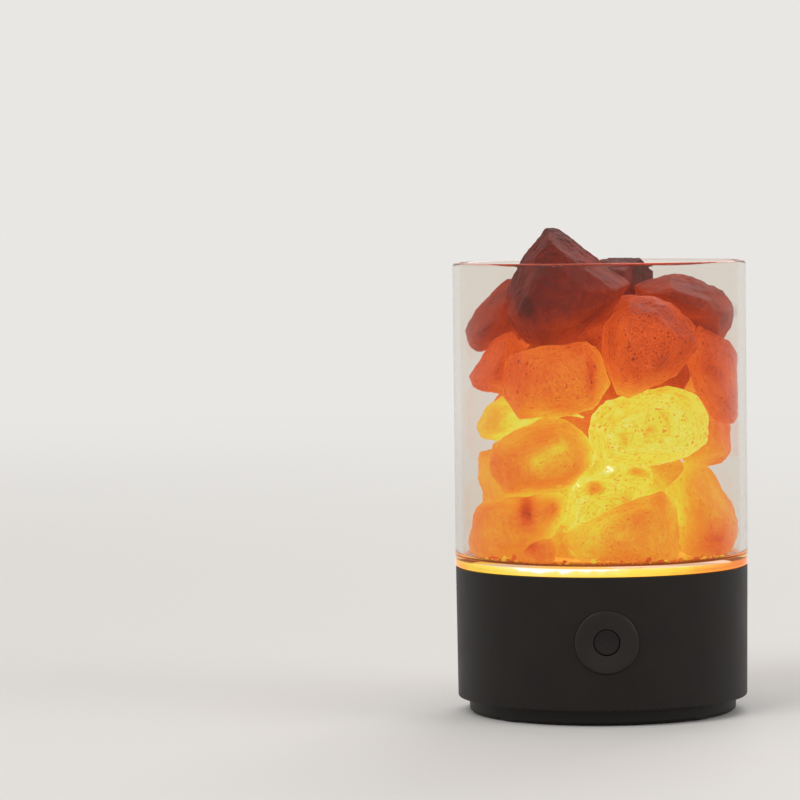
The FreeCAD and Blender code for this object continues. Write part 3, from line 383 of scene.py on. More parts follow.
@dataclass(frozen=True)
class Sealant(Finish):
    """Clear silicone with a few trapped bubbles."""

    def dress(self, tree: bpy.types.NodeTree, shader: bpy.types.Node,
              place: bpy.types.NodeSocket) -> None:
        """Make it clear and soft, and dent it with bubbles."""
        shader.inputs["Transmission Weight"].default_value = 1.0
        shader.inputs["IOR"].default_value = 1.41
        shader.inputs["Roughness"].default_value = 0.25
        bubbles = add_node(tree, "ShaderNodeTexVoronoi", {"Vector": place, "Scale": per_mm(2.5)})
        base_colour = add_node(tree, "ShaderNodeValToRGB", {"Fac": bubbles.outputs["Distance"]},
                        [(0.1, linear("#F6F2E8")), (0.4, linear("#E9E4D8"))])
        bump = add_node(tree, "ShaderNodeBump",
                        {"Height": bubbles.outputs["Distance"], "Strength": 0.6, "Distance": 0.2 * MM})
        tree.links.new(base_colour.outputs["Color"], shader.inputs["Base Color"])
        tree.links.new(bump.outputs["Normal"], shader.inputs["Normal"])


@dataclass(frozen=True)
class EdgeLitGlass(Finish):
    """Clear soda-lime glass, moulded and fire-polished. The lamp's light runs along inside it and comes
    out where it bends: at the edge of the thick floor, near white at the front and back and orange at
    the sides, and as a fine orange line along the rim. This light is painted as emission in places fixed
    on the cup, with a painted wash of light on the floor's upper side, and the base colour is darkened
    under it so that the painted light shows as it is written."""

    floor_low: float             # mm, underside of the cup's floor
    floor_top: float             # mm, upper side of it
    rim_top: float               # mm
    outer_radius: float          # mm
    absorption: float = 18.0     # per metre, which darkens the wall where it is seen along its length
    ior: float = 1.2             # under soda-lime's 1.52, so that reflections don't veil the lit stones
    shell: tuple[float, float] = (1.3, 0.6)        # mm in from the outside, where the lit edge fades in
    edge_fade: tuple[float, float] = (0.25, 0.6)   # mm under the floor's top, likewise
    inner_fade: tuple[float, float] = (1.3, 0.1)   # mm above the floor's top, where its painted wash of light fades in
    rim_fade: tuple[float, float] = (0.45, 0.12)   # mm under the rim's top, where its line fades in
    floor_glow_reach: tuple[float, float] = (20.0, 39.0)  # mm from the axis, where the painted wash of light goes from yellow to brown
    unevenness: float = 0.12     # share by which ripples vary the light
    brightest_way: tuple[float, float] = (-0.3, -0.954)   # unit vector from the axis, seen from above

    def dress(self, tree: bpy.types.NodeTree, shader: bpy.types.Node,
              place: bpy.types.NodeSocket) -> None:
        """Keep the wall clear, paint light on the floor's edge, on its upper side and along the rim, and
        darken the base colour under it.
        """
        shader.inputs["Transmission Weight"].default_value = 1.0
        shader.inputs["IOR"].default_value = self.ior
        shader.inputs["Roughness"].default_value = 0.0
        shader.inputs["Emission Strength"].default_value = 1.0
        parts = add_node(tree, "ShaderNodeSeparateXYZ", {"Vector": place})
        flat = add_node(tree, "ShaderNodeVectorMath", {0: place, 1: (1.0, 1.0, 0.0)}, operation="MULTIPLY")
        radius = add_node(tree, "ShaderNodeVectorMath", {0: flat.outputs[0]}, operation="LENGTH")
        outside = add_node(tree, "ShaderNodeMapRange", {
            "Value": radius.outputs["Value"], 1: (self.outer_radius - self.shell[0]) * MM,
            2: (self.outer_radius - self.shell[1]) * MM})
        ripple = add_node(tree, "ShaderNodeTexNoise",
                          {"Vector": place, "Scale": per_mm(5.0), "Detail": 3.0}).outputs["Fac"]
        uneven = add_node(tree, "ShaderNodeMapRange", {
            "Value": ripple, 3: -self.unevenness, 4: self.unevenness})

        # Painted light on the edge of the floor: brightest towards the front and the back, orange at the
        # sides, with ripples.
        below = add_node(tree, "ShaderNodeMapRange", {
            "Value": parts.outputs["Z"], 1: (self.floor_top - self.edge_fade[0]) * MM,
            2: (self.floor_top - self.edge_fade[1]) * MM})
        band = add_node(tree, "ShaderNodeMath", {0: outside.outputs[0], 1: below.outputs[0]},
                        operation="MULTIPLY")
        per_radius = 1 / (self.outer_radius * MM)
        towards = (self.brightest_way[0] * per_radius, self.brightest_way[1] * per_radius, 0.0)
        facing = add_node(tree, "ShaderNodeVectorMath", {0: flat.outputs[0], 1: towards},
                          operation="DOT_PRODUCT")
        strong = add_node(tree, "ShaderNodeMath", {0: facing.outputs["Value"]}, operation="ABSOLUTE")
        lift = add_node(tree, "ShaderNodeMapRange", {
            "Value": parts.outputs["Z"], 1: self.floor_low * MM,
            2: (self.floor_top - self.edge_fade[1]) * MM, 3: -0.1, 4: 0.05})
        varied = add_node(tree, "ShaderNodeMath", {0: strong.outputs[0], 1: uneven.outputs[0]})
        varied = add_node(tree, "ShaderNodeMath", {0: varied.outputs[0], 1: lift.outputs[0]})
        glow = add_node(tree, "ShaderNodeValToRGB", {"Fac": varied.outputs[0]}, [
            (0.05, linear("#D87834")), (0.42, linear("#E0923A")), (0.55, linear("#DEA63C")),
            (0.7, linear("#DEC646")), (0.88, linear("#DCD658")), (0.97, linear("#E2E08A")),
            (1.0, linear("#F2EFB8"))])

        # Painted wash of light on the floor's upper side, yellow near the middle and brown near the wall.
        inside = add_node(tree, "ShaderNodeMapRange", {
            "Value": radius.outputs["Value"], 1: (self.outer_radius - self.shell[0]) * MM,
            2: (self.outer_radius - self.shell[0] - 0.3) * MM})
        low = add_node(tree, "ShaderNodeMapRange", {
            "Value": parts.outputs["Z"], 1: (self.floor_top + self.inner_fade[0]) * MM,
            2: (self.floor_top + self.inner_fade[1]) * MM})
        deck = add_node(tree, "ShaderNodeMath", {0: inside.outputs[0], 1: low.outputs[0]},
                        operation="MULTIPLY")
        spill = add_node(tree, "ShaderNodeMapRange", {
            "Value": radius.outputs["Value"], 1: self.floor_glow_reach[0] * MM, 2: self.floor_glow_reach[1] * MM})
        shine = add_node(tree, "ShaderNodeMath", {0: spill.outputs[0], 1: uneven.outputs[0]})
        floor_glow = add_node(tree, "ShaderNodeValToRGB", {"Fac": shine.outputs[0]}, [
            (0.1, linear("#A47E34")), (0.5, linear("#84501E")), (0.95, linear("#602C10"))])

        # Painted line of light along the rim, stronger at the front than at the back.
        upper = add_node(tree, "ShaderNodeMapRange", {
            "Value": parts.outputs["Z"], 1: (self.rim_top - self.rim_fade[0]) * MM,
            2: (self.rim_top - self.rim_fade[1]) * MM})
        front = add_node(tree, "ShaderNodeMapRange", {
            "Value": parts.outputs["Y"], 1: 25 * MM, 2: -30 * MM, 3: 0.25, 4: 1.0})
        line = add_node(tree, "ShaderNodeMath", {0: upper.outputs[0], 1: front.outputs[0]},
                        operation="MULTIPLY")

        clear = linear("#F7F4EF")
        # Base colour darkened to dark red along the rim line and to dark orange where the floor is lit, so
        # that the painted light shows as written.
        base_colour = add_node(tree, "ShaderNodeMix", {"Factor": line.outputs[0], 6: clear, 7: linear("#96381C")},
                        data_type="RGBA")
        lit = add_node(tree, "ShaderNodeMath", {0: band.outputs[0], 1: deck.outputs[0]},
                       operation="MAXIMUM")
        body = add_node(tree, "ShaderNodeMix",
                        {"Factor": lit.outputs[0], 6: base_colour.outputs[2], 7: linear("#7A3A10")},
                        data_type="RGBA")
        rim_light = add_node(tree, "ShaderNodeMix", {
            "Factor": line.outputs[0], 6: linear("#000000"), 7: linear("#A2452C")}, data_type="RGBA")
        floor_light = add_node(tree, "ShaderNodeMix", {
            "Factor": deck.outputs[0], 6: rim_light.outputs[2], 7: floor_glow.outputs["Color"]},
            data_type="RGBA")
        light = add_node(tree, "ShaderNodeMix",
                         {"Factor": band.outputs[0], 6: floor_light.outputs[2], 7: glow.outputs["Color"]},
                         data_type="RGBA")
        depth = add_node(tree, "ShaderNodeVolumeAbsorption",
                         {"Color": linear("#C9A896"), "Density": self.absorption})
        tree.links.new(body.outputs[2], shader.inputs["Base Color"])
        tree.links.new(light.outputs[2], shader.inputs["Emission Color"])
        tree.links.new(depth.outputs[0], tree.nodes["Material Output"].inputs["Volume"])


# Warmth, the colour that lit salt shows there, and the salt's stain, which is set for each warmth so that
# daylight on it and the painted glow add up to that colour.
SALT_STEPS = (
    (0.00, "#4E251C", "#48201A"), (0.10, "#74372A", "#54261C"), (0.18, "#87372D", "#54241A"),
    (0.26, "#9E422E", "#502014"), (0.34, "#B7462E", "#4A1C10"), (0.42, "#CC522E", "#46180C"),
    (0.50, "#E05D30", "#441608"), (0.56, "#EA6834", "#421806"), (0.62, "#EE7738", "#401A06"),
    (0.68, "#F08538", "#3E1C06"), (0.74, "#F3953A", "#3E2006"), (0.80, "#F4A63E", "#3C2206"),
    (0.85, "#F2B941", "#3C2406"), (0.89, "#F1CE46", "#3C2806"), (0.93, "#EFE250", "#3C2C06"),
    (0.97, "#F3EE84", "#403414"), (1.00, "#FFFCEA", "#504828"))
SALT_SHEEN = 0.018               # light that the skin, and the glass before it, reflect


@dataclass(frozen=True)
class RockSalt(Finish):
    """Rock salt, cleaved and tumbled: a waxy, slightly see-through crystal that iron oxide stains salmon
    to dark red. It scatters the lamp's light inside, so that it glows from ember red, far from the lamp,
    through orange to nearly white next to it. This glow is painted as emission: the attribute "warmth"
    says how much light is painted at a point, "edge" how near a thin edge is, where a little more
    painted light goes, "speck" how pitted the skin is and "vein" how much dark clay runs through the
    stone. The stain under the glow is read off the warmth too."""

    cloud_size: float = 8.0      # mm
    mottle_size: float = 2.6     # mm
    grain_size: float = 0.45     # mm, the crystals' own grain
    vein_size: float = 9.0       # mm
    pit_depth: float = 0.3       # warmth that a dark speck takes away
    relief: float = 0.22         # mm, how far grain and pits stand up and in

    def glow_stops(self) -> list[tuple[float, Colour]]:
        """Stops of the glow: the colour seen at each warmth, less what daylight adds to it."""
        stops = []
        for warmth, seen, stain in SALT_STEPS:
            light = [max(0.0, a - b - SALT_SHEEN) for a, b in zip(linear(seen)[:3], linear(stain))]
            stops.append((warmth, (*light, 1.0)))
        return stops

    def dress(self, tree: bpy.types.NodeTree, shader: bpy.types.Node,
              place: bpy.types.NodeSocket) -> None:
        """Lay clouds, grain, specks and veins over the warmth, and raise them in the skin."""
        shader.inputs["IOR"].default_value = 1.54
        shader.inputs["Specular IOR Level"].default_value = 0.16
        shader.inputs["Emission Strength"].default_value = 1.0
        warmth, edge, speck, vein = [
            add_node(tree, "ShaderNodeAttribute", attribute_name=name).outputs["Fac"]
            for name in ("warmth", "edge", "speck", "vein")]
        cloud = add_node(tree, "ShaderNodeTexNoise", {
            "Vector": place, "Scale": per_mm(self.cloud_size), "Detail": 4.0,
            "Distortion": 0.4}).outputs["Fac"]
        mottle = add_node(tree, "ShaderNodeTexNoise", {
            "Vector": place, "Scale": per_mm(self.mottle_size), "Detail": 3.0,
            "Roughness": 0.6}).outputs["Fac"]
        grain = add_node(tree, "ShaderNodeTexNoise", {
            "Vector": place, "Scale": per_mm(self.grain_size), "Detail": 3.0,
            "Roughness": 0.8}).outputs["Fac"]
        crowded = add_node(tree, "ShaderNodeMapRange", {"Value": mottle, 1: 0.42, 2: 0.6}).outputs[0]
        pitted = speck
        for spacing, outer, inner in ((1.1, 0.34, 0.16), (3.6, 0.2, 0.08)):
            pits = add_node(tree, "ShaderNodeTexVoronoi", {"Vector": place, "Scale": per_mm(spacing)})
            pit = add_node(tree, "ShaderNodeMapRange",
                           {"Value": pits.outputs["Distance"], 1: outer, 2: inner}).outputs[0]
            pitted = pit if pitted == speck else add_node(
                tree, "ShaderNodeMath", {0: pitted, 1: pit}, operation="MAXIMUM").outputs[0]
        for share in (crowded, speck):
            pitted = add_node(tree, "ShaderNodeMath", {0: pitted, 1: share}, operation="MULTIPLY").outputs[0]
        bent = add_node(tree, "ShaderNodeTexNoise", {
            "Vector": place, "Scale": per_mm(self.vein_size), "Detail": 5.0,
            "Distortion": 1.4}).outputs["Fac"]
        ridge = add_node(tree, "ShaderNodeMath", {0: bent, 1: 0.5}, operation="SUBTRACT")
        ridge = add_node(tree, "ShaderNodeMath", {0: ridge.outputs[0]}, operation="ABSOLUTE")
        line = add_node(tree, "ShaderNodeMapRange", {"Value": ridge.outputs[0], 1: 0.03, 2: 0.0})
        line = add_node(tree, "ShaderNodeMath", {0: line.outputs[0], 1: vein}, operation="MULTIPLY")

        calm = add_node(tree, "ShaderNodeMapRange", {"Value": warmth, 1: 0.74, 2: 0.92, 3: 1.0, 4: 0.2})
        total = warmth
        for source, darker, lighter in ((cloud, 0.03, 0.03), (mottle, 0.035, 0.03), (grain, 0.19, 0.1)):
            term = add_node(tree, "ShaderNodeMapRange",
                            {"Value": source, 1: 0.3, 2: 0.7, 3: -darker, 4: lighter}).outputs[0]
            total = add_node(tree, "ShaderNodeMath", {0: term, 1: calm.outputs[0], 2: total},
                             operation="MULTIPLY_ADD").outputs[0]
        # Thin edges get a little more painted light. Specks and veins take painted glow away.
        for term, factor in ((edge, 0.02), (pitted, -self.pit_depth), (line.outputs[0], -0.07)):
            total = add_node(tree, "ShaderNodeMath", {0: term, 1: factor, 2: total},
                             operation="MULTIPLY_ADD").outputs[0]
        glow = add_node(tree, "ShaderNodeValToRGB", {"Fac": total}, self.glow_stops())
        # Base colour read off the same warmth, so that the stain follows the painted glow.
        stain_by_warmth = add_node(tree, "ShaderNodeValToRGB", {"Fac": total},
                           [(warmth, linear(stain)) for warmth, _, stain in SALT_STEPS])
        dark = add_node(tree, "ShaderNodeMix", {
            "Factor": pitted, 6: stain_by_warmth.outputs["Color"], 7: linear("#30130C")},
            data_type="RGBA")
        rough = add_node(tree, "ShaderNodeMapRange", {"Value": grain, 1: 0.3, 2: 0.7, 3: 0.5, 4: 0.72})
        height = add_node(tree, "ShaderNodeMath", {0: pitted, 1: -0.8, 2: grain},
                          operation="MULTIPLY_ADD")
        bump = add_node(tree, "ShaderNodeBump",
                        {"Height": height.outputs[0], "Strength": 0.7, "Distance": self.relief * MM})
        tree.links.new(dark.outputs[2], shader.inputs["Base Color"])
        tree.links.new(glow.outputs["Color"], shader.inputs["Emission Color"])
        tree.links.new(rough.outputs["Result"], shader.inputs["Roughness"])
        tree.links.new(bump.outputs["Normal"], shader.inputs["Normal"])


FINISHES = (
    MouldedPlastic("black_abs", "#161210", "#1B1613", 0.5, specular=0.2),
    MouldedPlastic("bezel_abs", "#191512", "#1F1A17", 0.36, grain_depth=0.004, specular=0.26),
    MouldedPlastic("button_abs", "#15110F", "#1A1613", 0.42, grain_depth=0.006, specular=0.22),
    MouldedPlastic("black_rubber", "#171514", "#23201E", 0.8, grain=0.5, grain_depth=0.03, specular=0.25),
    MouldedPlastic("white_plastic", "#E8E6E0", "#F2F0EA", 0.35),
    MouldedPlastic("component_black", "#1A1A1C", "#242426", 0.55),
    MouldedPlastic("connector_white", "#E6E0D2", "#EFEADD", 0.4),
    MouldedPlastic("lead_red", "#9E1B16", "#B02620", 0.4),
    MouldedPlastic("lead_black", "#161616", "#202020", 0.42),
    MouldedPlastic("socket_black", "#131313", "#1C1C1C", 0.4),
    MouldedPlastic("switch_black", "#171717", "#212121", 0.45),
    MouldedPlastic("plunger_plastic", "#C9C4B6", "#D6D2C6", 0.35),
    TurnedMetal("screw_steel", "#A7A9AC", "#77726A"),
    TurnedMetal("contact_brass", "#C9A45A", "#9A7636", 0.22),
    CircuitBoard("board_white", "#E9E9E4", "#D7D3C4"),
    CircuitBoard("board_green", "#0F4A2A", "#1C6B3F"),
    LitPlastic("frosted_acrylic", "#FFF4DC", "#FFE3B0", 3.0),
    LitPlastic("led_package", "#FFF6D8", "#FFE08A", 4.0),
    Sealant("clear_sealant"),
)


# ---- the cup ----------------------------------------------------------------------------------

@dataclass
class GlassCup:
    """Clear cup: straight wall, fire-rounded rim and a thick floor. Sizes are in millimetres."""

    radius: float = 40.0
    wall: float = 2.0
    floor: float = 2.6
    corner: float = 0.7
    inner_corner: float = 1.6
    rim_share: float = 0.47      # the rim's rounding, as a share of the wall
    segments: int = 320
    low: float = field(init=False)
    top: float = field(init=False)

    def __post_init__(self) -> None:
        """Take the cup's heights from the frame."""
        lowest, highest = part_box("glass_cup")
        self.low = lowest.z / MM
        self.top = highest.z / MM

    @property
    def floor_top(self) -> float:
        """Height of the surface that the stones lie on."""
        return self.low + self.floor

    @property
    def bore(self) -> float:
        """Inner radius."""
        return self.radius - self.wall

    @property
    def heart(self) -> np.ndarray:
        """Brightest spot of the pile."""
        return np.array([2.0, 0.0, self.floor_top + 20.0])

    def profile(self) -> np.ndarray:
        """Section from the axis under the floor, up the outside, over the rim and down the inside."""
        low, top, radius, bore = self.low, self.top, self.radius, self.bore
        round_rim = self.wall * self.rim_share
        corner, inner = self.corner, self.inner_corner
        margin = 0.25
        return np.concatenate([
            [(0.0, low)],
            run((radius / 3, low), (radius - corner, low), margin),
            arc((radius - corner, low + corner), corner, -90, 0, 6),
            run((radius, low + corner), (radius, top - round_rim), margin),
            arc((radius - round_rim, top - round_rim), round_rim, 0, 90, 8),
            arc((bore + round_rim, top - round_rim), round_rim, 90, 180, 8),
            run((bore, top - round_rim), (bore, self.floor_top + inner), margin),
            arc((bore - inner, self.floor_top + inner), inner, 0, -90, 8),
            run((bore - inner, self.floor_top), (bore / 3, self.floor_top), margin),
            [(0.0, self.floor_top)]])

    def build(self) -> None:
        """Turn the cup, dress it in edge-lit glass and let it stand for its CAD node."""
        cup = turned("cup_glass", self.profile(), self.segments)
        glass = EdgeLitGlass("clear_glass", self.low, self.floor_top, self.top, self.radius).material()
        glass.cycles.emission_sampling = "NONE"
        cup.data.materials.append(glass)
        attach(cup, "lamp")
        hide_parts("glass_cup")
        log.info("cup_glass: %d faces", len(cup.data.polygons))


# ---- the stones -------------------------------------------------------------------------------

class Glow(Enum):
    """How warm a stone looks from outside the pile, from hardly lit to as bright as the lamp."""

    SHADED = 0.15
    EMBER = 0.25
    DIM = 0.33
    RED = 0.56
    WARM = 0.76
    ORANGE = 0.85
    AMBER = 0.92
    GOLD = 0.98
    BRIGHT = 1.04


@dataclass(frozen=True)
class GlowSpot:
    """A spot where a stone's painted glow is raised, as painted light, when change is above zero, and
    lowered, as painted shade, when it is below zero: middle across and up, and half widths, in
    millimetres. The height counts from the cup's floor, and change is how much warmth it adds."""

    across: float
    height: float
    half_width: float
    half_height: float
    change: float

    def over(self, points: np.ndarray, floor_top: float) -> np.ndarray:
        """Painted warmth that the spot adds at each point: a bell curve of the distance over its half
        widths.
        """
        side = (points[:, 0] - self.across) / self.half_width
        rise = (points[:, 2] - floor_top - self.height) / self.half_height
        return self.change * np.exp(-side ** 2 - rise ** 2)


@dataclass
class SaltStone:
    """One cleaved and tumbled lump, whose skin is worked out from its CAD solid's planes."""

    node: str
    glow: Glow
    specks: float = 0.5
    veins: float = 0.3
    # Spots of painted light and painted shade laid on the stone's glow.
    marks: tuple[GlowSpot, ...] = ()
    body: str = "lamp"
    cells: int = 72
    softness: float = 0.22       # mm, how far edges are rounded
    chips: int = 30
    chip_depths: tuple[float, float] = (0.1, 0.55)   # mm
    bend: float = 0.25           # mm, how far its faces swell and sink
    swell: float = 0.3           # mm, pushed out again for what the soft edges took
    over: float = 0.1            # mm, how far it may pass its solid before the dents
    dent: float = 0.16           # mm
    crease: float = 0.09         # mm
    roughness: float = 0.05      # mm
    falloff: float = 0.009       # warmth per millimetre nearer to the pile's heart
    cloud: float = 0.025         # warmth
    brightest: float = 0.94      # warmth that none of its skin passes

    def planes(self) -> tuple[np.ndarray, np.ndarray, np.ndarray]:
        """Outward directions and reaches of the solid's faces, and its corners, in millimetres."""
        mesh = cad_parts[self.node].data
        corners = np.empty(len(mesh.vertices) * 3)
        mesh.vertices.foreach_get("co", corners)
        corners = corners.reshape(-1, 3) / MM
        normals = np.empty(len(mesh.polygons) * 3)
        mesh.polygons.foreach_get("normal", normals)
        normals = normals.reshape(-1, 3)
        centres = np.empty(len(mesh.polygons) * 3)
        mesh.polygons.foreach_get("center", centres)
        reaches = (normals * centres.reshape(-1, 3) / MM).sum(axis=1)
        _, first = np.unique(np.round(np.column_stack([normals * 100, reaches * 10])), axis=0,
                             return_index=True)
        return normals[first], reaches[first], corners

    def skin(self, seed: int) -> tuple[np.ndarray, np.ndarray, np.ndarray]:
        """Work out the stone's surface.

        Formula: along each direction u from the middle, the distance r solves
        softness * ln(sum(exp((n.(m + r u) - d + bend) / softness))) = 0, over the solid's planes (n, d)
        and over chips, which are planes just inside its corners. The bend is a slow noise along n
        that makes the faces uneven. Dents and creases are taken off, and r never passes the solid by
        more than a hair.

        Args:
            seed: number of the stone, which sets its chips and noise.

        Returns:
            Points in millimetres, quads, and how near each point is to an edge, from 0 to about 1.
        """
        ways, quads = ball_grid(self.cells)
        normals, reaches, corners = self.planes()
        middle = corners.mean(axis=0)
        draw = np.random.default_rng(seed)
        chip_ways = draw.normal(size=(self.chips, 3))
        chip_ways /= np.linalg.norm(chip_ways, axis=1, keepdims=True)
        chip_reaches = (corners @ chip_ways.T).max(axis=0) - draw.uniform(*self.chip_depths, self.chips)

        slope = ways @ normals.T
        room = reaches - normals @ middle
        limit = np.where(slope > 1e-6, room / np.maximum(slope, 1e-6), np.inf).min(axis=1)
        normals = np.vstack([normals, chip_ways])
        room = np.concatenate([reaches, chip_reaches]) - normals @ middle
        slope = ways @ normals.T
        on_solid = middle + ways * limit[:, None]
        bend = np.stack([WaveNoise(seed * 10 + k, 11.0).at(on_solid) for k in range(3)], axis=1)
        bend *= self.bend
        offset = bend @ normals.T - room
        distance = limit.copy()
        for _ in range(7):
            height = (slope * distance[:, None] + offset) / self.softness
            top = height.max(axis=1, keepdims=True)
            weight = np.exp(height - top)
            total = weight.sum(axis=1)
            soft = self.softness * (np.log(total) + top[:, 0])
            distance -= soft * total / np.maximum((weight * slope).sum(axis=1), 0.2 * total)
        edge = np.clip(np.log(total), 0, 1)
        points = middle + ways * distance[:, None]
        dents = self.dent * np.maximum(WaveNoise(seed * 10 + 5, 8.0).at(points), 0)
        creases = self.crease * np.abs(WaveNoise(seed * 10 + 6, 4.4).at(points))
        rough = self.roughness * (WaveNoise(seed * 10 + 7, 1.9).at(points) + 0.5)
        distance = np.minimum(distance + self.swell, limit + self.over)
        distance -= dents + creases + rough
        return middle + ways * distance[:, None], quads, edge

    def warmth(self, points: np.ndarray, cup: GlassCup, seed: int) -> np.ndarray:
        """Painted light at each point of the skin: the light that would arrive there.

        Formula: the stone's own glow, plus a share of how much nearer the point lies to the pile's
        bright heart than the stone's middle does, plus slow clouds and the stone's spots of painted light
        and shade, and never more than the brightest.
        """
        middle = (points.min(axis=0) + points.max(axis=0)) / 2
        nearer = np.linalg.norm(middle - cup.heart) - np.linalg.norm(points - cup.heart, axis=1)
        value = self.glow.value + self.falloff * nearer
        value += self.cloud * WaveNoise(seed * 10 + 8, 14.0).at(points)
        for mark in self.marks:
            value += mark.over(points, cup.floor_top)
        return np.minimum(value, self.brightest)

    def build(self, seed: int, salt: bpy.types.Material, cup: GlassCup) -> None:
        """Make the stone's mesh with its attributes, and let it stand for its CAD node."""
        points, quads, edge = self.skin(seed)
        name = self.node.replace("stone_", "salt_")
        piece = mesh_object(name, points, quads)
        set_attribute(piece, "warmth", self.warmth(points, cup, seed))
        set_attribute(piece, "edge", edge)
        set_attribute(piece, "speck", np.full(len(points), self.specks))
        set_attribute(piece, "vein", np.full(len(points), self.veins))
        piece.data.materials.append(salt)
        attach(piece, self.body)
        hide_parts(self.node)
        log.info("%s: %d faces", name, len(piece.data.polygons))


@dataclass
class LodgedBits:
    """Small stones that have slipped down between the large ones and fill the middle of the pile."""

    cup: GlassCup
    stones: list[SaltStone]
    count: int = 44
    tries: int = 16000
    cells: int = 14
    reach: float = 18.0          # mm, how far from the axis their middles lie at most
    front: float = -8.0          # mm, how far to the front they lie at most
    height: float = 66.0         # mm above the cup's floor, likewise
    gap: float = 0.15            # mm, left to the neighbours
    facets: int = 12
    roughness: float = 0.04      # mm
    above: tuple[float, float, float] = (0.8, 0.5, 1.6)   # how fast the light falls off each way
    below: tuple[float, float, float] = (0.8, 0.5, 0.7)
    falloff: float = 0.0125      # warmth per millimetre

    def clearances(self, points: np.ndarray) -> tuple[np.ndarray, np.ndarray]:
        """How far each point is from each stone, and the direction away from it.

        Formula: the largest of n.p - d over a stone's planes, and the n that gives it.
        """
        depths, ways = [], []
        for stone in self.stones:
            normals, reaches, _ = stone.planes()
            heights = points @ normals.T - reaches
            nearest = heights.argmax(axis=1)
            depths.append(heights.max(axis=1))
            ways.append(normals[nearest])
        return np.stack(depths, axis=1), np.stack(ways, axis=1)

    def middles(self, draw: np.random.Generator) -> tuple[np.ndarray, np.ndarray]:
        """Choose the bits' middles and radii: again and again the point with the most room left."""
        turn = draw.uniform(0, 2 * np.pi, self.tries)
        out = self.reach * np.sqrt(draw.random(self.tries))
        rise = self.cup.floor_top + draw.uniform(1.5, self.height, self.tries)
        points = np.stack([out * np.cos(turn), out * np.sin(turn), rise], axis=1)
        room = np.minimum(self.clearances(points)[0].min(axis=1), rise - self.cup.floor_top)
        room = np.minimum(room, 6.0)
        room[points[:, 1] < self.front] = 0.0
        chosen, radii = [], []
        for _ in range(self.count):
            best = room.argmax()
            chosen.append(points[best])
            radii.append(room[best])
            room = np.minimum(room, np.linalg.norm(points - points[best], axis=1) - room[best])
        return np.array(chosen), np.array(radii)

    def skins(self, draw: np.random.Generator) -> tuple[np.ndarray, np.ndarray]:
        """Work out all bits at once.

        Formula: along each direction u from a bit's middle, the distance is the soft least of
        room / (n.u) over the planes round it: one towards each large stone, one towards each other
        bit, the floor, and random facets.

        Returns:
            Points in millimetres and quads.
        """
        ways, quads = ball_grid(self.cells)
        middles, radii = self.middles(draw)
        depths, away = self.clearances(middles)
        between = middles[None] - middles[:, None]
        spans = np.linalg.norm(between, axis=2) + 1e-9
        shares = radii[:, None] / (radii[:, None] + radii[None])
        rooms = spans * shares + np.eye(self.count) * 100.0
        facets = draw.normal(size=(self.count, self.facets, 3))
        facets /= np.linalg.norm(facets, axis=2, keepdims=True)
        reaches = radii[:, None] * draw.uniform(1.0, 1.7, (self.count, self.facets))
        down = np.broadcast_to([0.0, 0.0, -1.0], (self.count, 1, 3))
        fall = (middles[:, 2:] - self.cup.floor_top)
        normals = np.concatenate([-away, between / spans[..., None], facets, down], axis=1)
        rooms = np.concatenate([depths - self.gap, rooms - self.gap, reaches, fall], axis=1)
        slopes = np.maximum(np.einsum("nj,bkj->bnk", ways, normals), 1e-3)
        lengths = np.maximum(rooms, 0.2)[:, None, :] / slopes
        soft = 0.06 * radii[:, None, None]
        least = lengths.min(axis=2, keepdims=True)
        distance = least - soft * np.log(np.exp((least - lengths) / soft).sum(axis=2, keepdims=True))
        points = middles[:, None] + ways[None] * np.maximum(distance, 0.1)
        quads = quads[None] + (len(ways) * np.arange(self.count))[:, None, None]
        return points.reshape(-1, 3), quads.reshape(-1, 4)

    def build(self, salt: bpy.types.Material) -> None:
        """Make the bits as one piece.

        Formula: the warmth falls evenly with the distance from the pile's heart, which counts more
        upwards than sideways and down, and it stays within two limits.
        """
        points, quads = self.skins(np.random.default_rng(29))
        rough = WaveNoise(311, 2.2).at(points) * self.roughness
        middle = np.repeat(points.reshape(self.count, -1, 3).mean(axis=1), len(points) // self.count,
                           axis=0)
        outward = points - middle
        outward /= np.linalg.norm(outward, axis=1, keepdims=True)
        points = points + outward * rough[:, None]
        piece = mesh_object("salt_lodged_bits", points, quads)
        apart = points - self.cup.heart
        apart *= np.where(apart[:, 2:] > 0, self.above, self.below)
        far = np.linalg.norm(apart, axis=1)
        warmth = np.clip(1.03 - self.falloff * far, 0.42, 0.95) + 0.02 * WaveNoise(312, 9.0).at(points)
        set_attribute(piece, "warmth", warmth)
        set_attribute(piece, "edge", np.zeros(len(points)))
        set_attribute(piece, "speck", np.full(len(points), 0.3))
        set_attribute(piece, "vein", np.full(len(points), 0.3))
        piece.data.materials.append(salt)
        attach(piece, "lamp")
        log.info("salt_lodged_bits: %d bits, %d faces", self.count, len(piece.data.polygons))


